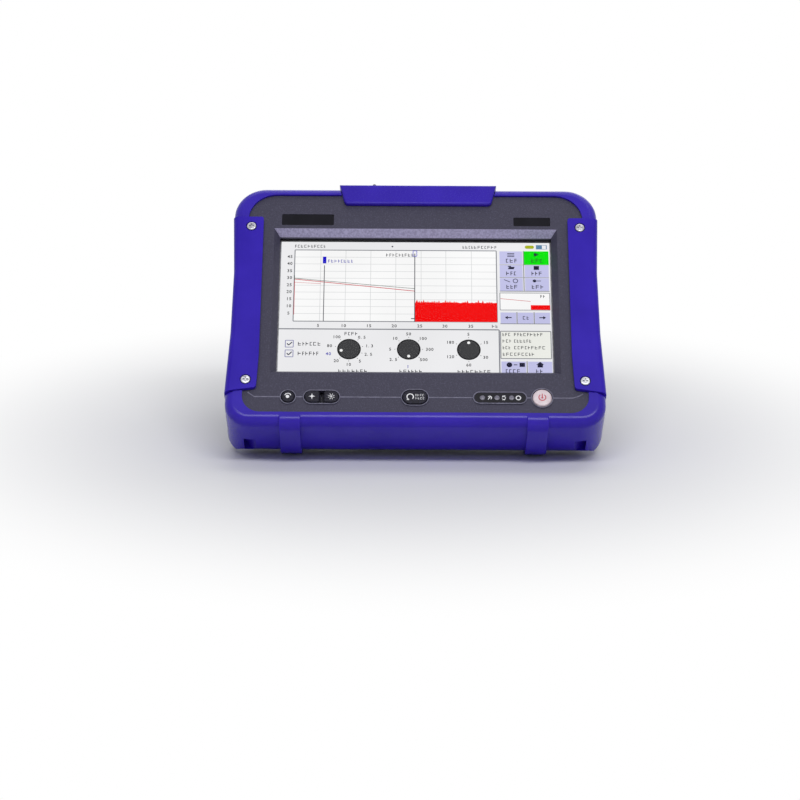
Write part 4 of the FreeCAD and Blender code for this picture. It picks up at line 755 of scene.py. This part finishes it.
x, z, face = middle_of("power_key")
drawing = bmesh.new()
ink(drawing, arc(x, z, 1.9, 0.55, 125, 415), face)
ink(drawing, [stroke((x, z + 0.2), (x, z + 2.3), 0.55)], face)
ink(drawing, [disc(x, z - 0.1, 0.55)], face)
piece("power_key_symbol", drawing, red_ink, "power_key_body")

# ---------------------------------------------------------------- lamp window
# Smoked polycarbonate over three lamps. Each lamp shows as a dim domed disc, with a small
# white symbol printed at its right.
LAMPS = (-9.6, -1.7, 6.3)
LAMP_ROUND = 1.45
LAMP_PROUD = 0.28

smoked, tree, shader = start("polycarbonate, smoked", "#16151F", 0.18)
shader.inputs["IOR"].default_value = 1.58
shader.inputs["Specular IOR Level"].default_value = 0.2
mottle(tree, shader, "#1B1A26", "#121119", 4)
grain(tree, shader, 0.5, 0.004)
dress(smoked, "led_window")
lamp_glow, tree, shader = start("epoxy lamp, seen through the window", "#6B6878", 0.3)
mottle(tree, shader, "#7A7788", "#565363", 0.8)
dress(lamp_glow, "status_lamps")

x, z, face = middle_of("led_window")
drawing = bmesh.new()
for step in LAMPS:
    rings = [(disc(x + step, z, LAMP_ROUND * math.cos(a)), face - LAMP_PROUD * math.sin(a))
             for a in (0.0, 0.4, 0.8, 1.2)]
    slab(drawing, rings)
piece("lamp_lenses", drawing, lamp_glow, "case")
drawing = bmesh.new()
ink(drawing, arc(x - 5.6, z, 1.0, 0.45, -60, 150), face)
ink(drawing, [stroke((x - 6.6, z - 1.1), (x - 5.4, z + 0.5), 0.5)], face)
ink(drawing, arc(x + 2.0, z - 0.1, 0.95, 0.35, 200, 520), face)
ink(drawing, [stroke((x + 1.2, z + 1.0), (x + 2.8, z + 1.3), 0.4),
              stroke((x + 1.3, z - 1.3), (x + 2.7, z - 1.3), 0.35)], face)
ink(drawing, arc(x + 10, z, 1.2, 0.55, 0, 360), face)
piece("lamp_symbols", drawing, white_ink, "case")

# ---------------------------------------------------------------- touch glass and display
# Clear glass, lightly etched, over a lit display. The picture is drawn in thin lit layers
# between the glass and the display's frame: a trace on a grid, buttons and three dials.
VIEW_HALF = 76.1
VIEW_LOW = 38.4
VIEW_HIGH = 125.2
PICTURE_DEEP = 8.2
LAYER = 0.09
FILM = 0.02
BACKLIGHT = 1.14
SMUDGE = 22
UNEVEN = 45
DIMMEST = 0.94

glass, tree, shader = start("touch glass, etched", "#0C0C12", 0.08)
shader.inputs["Alpha"].default_value = 0.07
shader.inputs["IOR"].default_value = 1.5
spot = add(tree, "ShaderNodeTexCoord", {})
smudge = add(tree, "ShaderNodeTexNoise", {"Scale": 1 / (SMUDGE * MM), "Detail": 4.0},
             {"Vector": spot.outputs["Object"]})
wipe = add(tree, "ShaderNodeMapRange", {"To Min": 0.05, "To Max": 0.18}, {"Value": smudge.outputs[0]})
tree.links.new(wipe.outputs[0], shader.inputs["Roughness"])
dress(glass, "touch_panel")
steel_frame = turned_metal("steel sheet, pressed display frame", "#9A9AA0", "#85858C", 0.4, 1.5)
dress(steel_frame, "lcd_module")


def lit(name, shade, layer, outlines):
    """One colour of the display's picture, in its own thin layer: 0 is the lowest."""
    material, tree, shader = start("display light, " + name.replace("_", " "), "#050505", 0.6)
    shader.inputs["Specular IOR Level"].default_value = 0.0
    shader.inputs["Emission Strength"].default_value = BACKLIGHT
    spot = add(tree, "ShaderNodeTexCoord", {})
    cloud = add(tree, "ShaderNodeTexNoise", {"Scale": 1 / (UNEVEN * MM), "Detail": 1.0},
                {"Vector": spot.outputs["Object"]})
    even = add(tree, "ShaderNodeMapRange", {"From Min": 0.3, "From Max": 0.7},
               {"Value": cloud.outputs[0]})
    bright = colour(shade)
    dim = [DIMMEST * part for part in bright[:3]] + [1.0]
    mix = add(tree, "ShaderNodeMix", {"data_type": "RGBA", 6: dim, 7: bright},
              {0: even.outputs[0]})
    tree.links.new(mix.outputs[2], shader.inputs["Emission Color"])
    drawing = bmesh.new()
    ink(drawing, outlines, PICTURE_DEEP - layer * LAYER, FILM)
    made = piece("display_" + name, drawing, material, "case")


def at(across, down):
    """A point of the picture from its share of the way across and down."""
    return (-VIEW_HALF + across * 2 * VIEW_HALF, VIEW_HIGH - down * (VIEW_HIGH - VIEW_LOW))


def box(left, right, low, high):
    """The outline of a rectangle, in millimetres."""
    return [(left, low), (right, low), (right, high), (left, high)]


def area(left, right, top, low, inset=0.0):
    """A rectangle of the picture by its shares across and down."""
    x0, z1 = at(left, top)
    x1, z0 = at(right, low)
    return box(x0 + inset, x1 - inset, z0 + inset, z1 - inset)


def line(left, top, right, low, wide=0.3):
    """A line of the picture between two points, by their shares."""
    return stroke(at(left, top), at(right, low), wide)


def border(left, right, top, low, wide=0.4):
    """The four sides of a box of the picture."""
    return [line(left, top, right, top, wide), line(left, low, right, low, wide),
            line(left, top, left, low, wide), line(right, top, right, low, wide)]


NUMERALS = {}
NUMERAL_WEIGHT = 0.018
NUMERAL_STEP = 0.58
NUMERAL_MIDDLE = 0.34
for sign in "0123456789.":
    curve = bpy.data.curves.new("numeral", "FONT")
    curve.body = sign
    curve.size = 1.0
    curve.offset = NUMERAL_WEIGHT
    curve.resolution_u = 2
    holder = bpy.data.objects.new("numeral", curve)
    scene.collection.objects.link(holder)
    shape = bpy.data.meshes.new_from_object(holder)
    NUMERALS[sign] = [[(shape.vertices[i].co.x, shape.vertices[i].co.y) for i in polygon.vertices]
                      for polygon in shape.polygons]
    bpy.data.objects.remove(holder)
    bpy.data.meshes.remove(shape)
    bpy.data.curves.remove(curve)


def number(text, across, down, tall=2.7):
    """A plain number of the picture, centred on a point."""
    step = tall * NUMERAL_STEP
    x0, z0 = at(across, down)
    x0 -= step * len(text) / 2
    return [[(x0 + i * step + px * tall, z0 + (py - NUMERAL_MIDDLE) * tall) for px, py in points]
            for i, sign in enumerate(text) for points in NUMERALS[sign]]


# where the parts of the picture lie, by their shares across and down: left, right, top, low
COLUMNS = (0.148, 0.241, 0.334, 0.427, 0.521, 0.613, 0.708)
ROWS = (0.119, 0.172, 0.228, 0.281, 0.336, 0.388, 0.442, 0.496, 0.551)
DIALS = (0.258, 0.476, 0.695)
DIAL_DOWN = 0.817
DIAL_ROUND = 6.6
DIAL_RIM = 0.7
DOT_OUT = 4.4
DOT_ROUND = 0.85
GRAPH_LEFT = 0.051
GRAPH_RIGHT = 0.801
GRAPH_TOP = 0.065
GRAPH_LOW = 0.609
GRAPH = (GRAPH_LEFT, GRAPH_RIGHT, GRAPH_TOP, GRAPH_LOW)
SMALL_GRAPH = (0.812, 0.996, 0.388, 0.517)
INFO_BOX = (0.812, 0.996, 0.677, 0.880)
START_BUTTON = (0.903, 0.996, 0.065, 0.170)
BUTTONS = ((0.812, 0.899, 0.172, 0.268), (0.905, 0.996, 0.172, 0.268),
           (0.812, 0.899, 0.271, 0.372), (0.905, 0.996, 0.271, 0.372),
           (0.812, 0.899, 0.065, 0.168), (0.812, 0.872, 0.533, 0.619),
           (0.875, 0.935, 0.533, 0.619), (0.938, 0.996, 0.533, 0.619),
           (0.812, 0.904, 0.899, 1.0), (0.909, 0.999, 0.899, 1.0))
BUTTON_GAP = 0.15
RULES = ((0, 0.667, 0.806, 0.667, 0.7), (0.807, 0.667, 0.807, 1.0, 0.7),
         (0.812, 0.172, 0.996, 0.172, 0.3), (0.812, 0.270, 0.996, 0.270, 0.3),
         (0.902, 0.065, 0.902, 0.372, 0.5), (0.8735, 0.533, 0.8735, 0.619, 0.5),
         (0.9365, 0.533, 0.9365, 0.619, 0.5), (0.812, 0.374, 0.996, 0.374, 0.45),
         (0.812, 0.621, 0.996, 0.621, 0.45), (0.9065, 0.899, 0.9065, 1.0, 0.5))
CHECK_ACROSS = 0.040
CHECK_DOWN = (0.780, 0.852)
CHECK_HALF = 2.2
MARKER = 0.4975
NOISE_LEFT = 0.502
NOISE_TOP = 0.468
NOISE_STEPS = 74

lit("ground", "#F0F0F2", 0, [area(0, 1, 0, 1)])
lit("white_boxes", "#FDFDFD", 1, [area(*GRAPH), area(*SMALL_GRAPH)])
lit("grid", "#D3D5D6", 2, [line(x, GRAPH_TOP, x, GRAPH_LOW, 0.28) for x in COLUMNS]
    + [line(GRAPH_LEFT, z, GRAPH_RIGHT, z, 0.26) for z in ROWS])
lit("buttons", "#C6C6EC", 1, [area(*shares, BUTTON_GAP) for shares in BUTTONS])
lit("start_button", "#06E606", 1, [area(*START_BUTTON)])
lit("info_box", "#F1F2EC", 1, [area(*INFO_BOX)])
lit("frames", "#83858C", 3, border(*GRAPH, 0.55) + border(*SMALL_GRAPH) + border(*INFO_BOX, 0.5)
    + [line(*rule) for rule in RULES])
chance = random.Random(7)
edge = [at(GRAPH_RIGHT, GRAPH_LOW), at(GRAPH_RIGHT, 0.462)]
for i in range(NOISE_STEPS):
    share = GRAPH_RIGHT - (GRAPH_RIGHT - NOISE_LEFT) * i / NOISE_STEPS
    edge.append(at(share, NOISE_TOP - (0.026 if i % 2 else 0.004) * chance.random()))
edge += [at(0.499, 0.470), at(0.499, GRAPH_LOW)]
lit("noise_block", "#F80A0A", 4, [edge, area(0.925, 0.996, 0.480, 0.515)])
lit("red_trace", "#CC2A36", 4, [line(0.053, 0.291, MARKER, 0.378, 0.42),
                                line(0.053, 0.315, 0.15, 0.325, 0.2),
                                line(0.053, 0.30, 0.053, 0.56, 0.28),
                                line(0.814, 0.432, 0.925, 0.452, 0.28)])
lit("dark_trace", "#4A5A4E", 5, [line(0.052, 0.284, 0.2, 0.310, 0.3),
                                 line(0.2, 0.310, MARKER, 0.360, 0.3),
                                 line(0.052, 0.262, 0.052, 0.30, 0.4)])
lit("marker_lines", "#4A4A52", 5, [line(0.162, 0.185, 0.162, GRAPH_LOW, 0.45),
                                   line(MARKER, 0.09, MARKER, GRAPH_LOW, 0.5),
                                   line(0.484, 0.587, MARKER, 0.587, 0.6)])
lit("marker_flag", "#1C12C8", 6, [area(0.1555, 0.1685, 0.118, 0.17)]
    + border(0.491, 0.505, 0.07, 0.112, 0.35))
lit("marker_readings", "#3A36B0", 6, greeked(*at(0.176, 0.152), 2.0, 8, 11)
    + number("40", 0.184, 0.853) + number("1", 0.474, 0.945))

# the numbers along the graph and round the dials
numbers = []
for i, down in enumerate(ROWS):
    numbers += number(str(45 - 5 * i), 0.034, down)
for i, across in enumerate(COLUMNS):
    numbers += number(str(5 + 5 * i), across - 0.004, 0.643)
SCALES = ((("0.5", 50), ("1.3", 12), ("2.5", -20), ("5", -52), ("10", -90), ("20", -130),
           ("80", 168), ("100", 128)),
          (("50", 90), ("100", 45), ("300", 0), ("500", -42), ("2.5", 222), ("5", 180), ("10", 135)),
          (("5", 90), ("15", 28), ("30", -30), ("60", -90), ("120", 208), ("180", 152)))
TICK_NEAR = 7.4
TICK_FAR = 8.0
SCALE_ACROSS = 10.2
SCALE_UP = 9.9
ticks = []
for across, scale in zip(DIALS, SCALES):
    x0, z0 = at(across, DIAL_DOWN)
    for text, angle in scale:
        a = math.radians(angle)
        far = SCALE_ACROSS + 0.75 * (len(text) - 1) * abs(math.cos(a))
        px = x0 + far * math.cos(a)
        pz = z0 + SCALE_UP * math.sin(a)
        shares = ((px + VIEW_HALF) / (2 * VIEW_HALF), (VIEW_HIGH - pz) / (VIEW_HIGH - VIEW_LOW))
        numbers += number(text, *shares, 2.6)
        ticks.append(stroke((x0 + TICK_NEAR * math.cos(a), z0 + TICK_NEAR * math.sin(a)),
                            (x0 + TICK_FAR * math.cos(a), z0 + TICK_FAR * math.sin(a)), 0.3))
lit("numbers", "#1C1C20", 6, numbers + ticks)

# lines of small print: share across, share down, letters, height and seed of each
PRINT = ((0.052, 0.038, 10, 1.9, 21), (0.073, 0.780, 6, 2.3, 22), (0.073, 0.852, 6, 2.3, 23),
         (0.222, 0.982, 7, 2.4, 24), (0.444, 0.982, 6, 2.4, 25), (0.655, 0.982, 8, 2.4, 26),
         (0.242, 0.703, 4, 2.1, 27), (0.82, 0.703, 3, 2.0, 28), (0.862, 0.703, 9, 2.0, 29),
         (0.82, 0.752, 3, 2.0, 30), (0.862, 0.752, 6, 2.0, 31), (0.82, 0.801, 3, 2.0, 32),
         (0.862, 0.801, 9, 2.0, 33), (0.82, 0.850, 3, 2.0, 34), (0.862, 0.850, 6, 2.0, 35),
         (0.838, 0.142, 3, 2.5, 36), (0.932, 0.142, 3, 2.5, 37), (0.838, 0.240, 3, 2.5, 38),
         (0.932, 0.240, 3, 2.5, 39), (0.838, 0.343, 3, 2.5, 40), (0.932, 0.343, 3, 2.5, 41),
         (0.896, 0.578, 2, 2.2, 42), (0.830, 0.975, 4, 2.4, 43), (0.940, 0.975, 2, 2.4, 44),
         (0.962, 0.415, 2, 1.9, 45), (0.782, 0.643, 2, 1.9, 46), (0.392, 0.103, 9, 2.0, 12),
         (0.677, 0.04, 11, 1.9, 13))
words = []
for left, down, count, tall, seed in PRINT:
    words += greeked(*at(left, down), tall, count, seed)
lit("greeked_print", "#1E1E28", 6, words)

# symbols of the buttons, check boxes and arrows
x0, z0 = at(0.855, 0.098)
symbols = [stroke((x0 - 2, z0 + step), (x0 + 2, z0 + step), 0.45) for step in (-1, 0, 1)]
x0, z0 = at(0.949, 0.095)
symbols += [[(x0 - 1.2, z0 - 1.4), (x0 + 1.6, z0), (x0 - 1.2, z0 + 1.4)]]
x0, z0 = at(0.855, 0.197)
symbols += [[(x0 - 1.8, z0 - 0.9), (x0 + 1.5, z0 - 0.9), (x0 + 2.1, z0 + 0.6), (x0 - 1.1, z0 + 0.6)],
            [(x0 - 1.8, z0 + 0.7), (x0 + 0.2, z0 + 0.7), (x0 - 0.1, z0 + 1.3), (x0 - 1.8, z0 + 1.3)]]
x0, z0 = at(0.949, 0.197)
symbols += [box(x0 - 1.5, x0 + 1.5, z0 - 1.3, z0 + 1.3)]
x0, z0 = at(0.848, 0.297)
symbols += [stroke((x0 - 3, z0 + 0.8), (x0 + 0.4, z0 - 0.8), 0.4)]
symbols += arc(x0 + 3.4, z0, 1.3, 0.4, 0, 360, 12)
x0, z0 = at(0.949, 0.297)
symbols += [stroke((x0 - 2.4, z0), (x0 + 2.4, z0), 0.4), disc(x0 - 1.2, z0, 1.0, 10)]
x0, z0 = at(0.842, 0.576)
symbols += [stroke((x0 - 1, z0), (x0 + 1.8, z0), 0.6),
            [(x0 - 2, z0), (x0 - 0.4, z0 - 1.1), (x0 - 0.4, z0 + 1.1)]]
x0, z0 = at(0.967, 0.576)
symbols += [stroke((x0 - 1.8, z0), (x0 + 1, z0), 0.6),
            [(x0 + 2, z0), (x0 + 0.4, z0 + 1.1), (x0 + 0.4, z0 - 1.1)]]
x0, z0 = at(0.842, 0.928)
symbols += [disc(x0, z0, 1.6, 14), stroke((x0 + 2.4, z0), (x0 + 4.4, z0), 0.5),
            box(x0 + 5.6, x0 + 8.6, z0 - 1.3, z0 + 1.3)]
x0, z0 = at(0.954, 0.928)
symbols += [[(x0 - 2.2, z0 + 0.1), (x0 + 2.2, z0 + 0.1), (x0, z0 + 2.0)],
            box(x0 - 1.5, x0 + 1.5, z0 - 1.6, z0 + 0.1)]
x0, z0 = at(0.414, 0.037)
symbols += [disc(x0, z0, 0.5, 10)]
for down in CHECK_DOWN:
    x0, z0 = at(CHECK_ACROSS, down)
    symbols += [stroke((x0 - 1.3, z0 + 0.2), (x0 - 0.3, z0 - 0.9), 0.6),
                stroke((x0 - 0.3, z0 - 0.9), (x0 + 1.5, z0 + 1.1), 0.6)]
lit("symbols", "#22223A", 6, symbols)
boxes = []
for down in CHECK_DOWN:
    x0, z0 = at(CHECK_ACROSS, down)
    corners = box(x0 - CHECK_HALF, x0 + CHECK_HALF, z0 - CHECK_HALF, z0 + CHECK_HALF)
    boxes += [stroke(corners[j], corners[(j + 1) % 4], 0.4) for j in range(4)]
lit("check_boxes", "#6F6FA6", 6, boxes)
for part, shade, layer, radius in (("dial_rims", "#141416", 4, DIAL_ROUND),
                                   ("dial_faces", "#404042", 5, DIAL_ROUND - DIAL_RIM)):
    lit(part, shade, layer, [disc(*at(across, DIAL_DOWN), radius, 48) for across in DIALS])
dots = []
for across, angle in zip(DIALS, (192, -90, 90)):
    x0, z0 = at(across, DIAL_DOWN)
    a = math.radians(angle)
    dots.append(disc(x0 + DOT_OUT * math.cos(a), z0 + DOT_OUT * math.sin(a), DOT_ROUND, 16))
lit("dial_dots", "#FAFAFA", 6, dots)
x0, z0 = at(0.925, 0.036)
x1, z1 = at(0.968, 0.036)
lit("status_light", "#A9B31E", 5, [rounded(x0 - 2.6, x0 + 2.6, z0 - 1.1, z0 + 1.1, 1.05, 6)])
lit("battery_mark", "#5C86A8", 5, [box(x1 - 2.8, x1 + 0.6, z1 - 1.2, z1 + 1.2)]
    + [stroke((x1 - 2.9, z1 + 1.3), (x1 + 3, z1 + 1.3), 0.25),
       stroke((x1 - 2.9, z1 - 1.3), (x1 + 3, z1 - 1.3), 0.25),
       stroke((x1 + 3.1, z1 - 1.3), (x1 + 3.1, z1 + 1.3), 0.5)])

# ---------------------------------------------------------------- pieces inside the case
# Never seen when the case is closed, but finished all the same: a moulded key mat, a zinc-plated
# bracket, two machined aluminium boxes and a battery in a blue sleeve.
mat_silicone, tree, shader = start("silicone, moulded key mat", "#8A8A92", 0.6)
mottle(tree, shader, "#92929A", "#7E7E86", 6)
grain(tree, shader, 0.4, 0.02)
dress(mat_silicone, "keypad_mat")
dress(turned_metal("steel sheet, zinc plate", "#AEB2B8", "#979BA3", 0.35, 1.2), "lcd_bracket")
dress(turned_metal("aluminium, machined box", "#B4B6BA", "#A0A2A8", 0.33, 0.8),
      "otdr_module", "meter_module")
sleeve, tree, shader = start("PVC sleeve, shrunk", "#1C2F78", 0.3)
mottle(tree, shader, "#223A8C", "#182A6C", 14)
grain(tree, shader, 2.5, 0.05)
dress(sleeve, "battery_pack")

# ---------------------------------------------------------------- sizes and the end
# The box of everything that shows, apart from the table.
low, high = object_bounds()
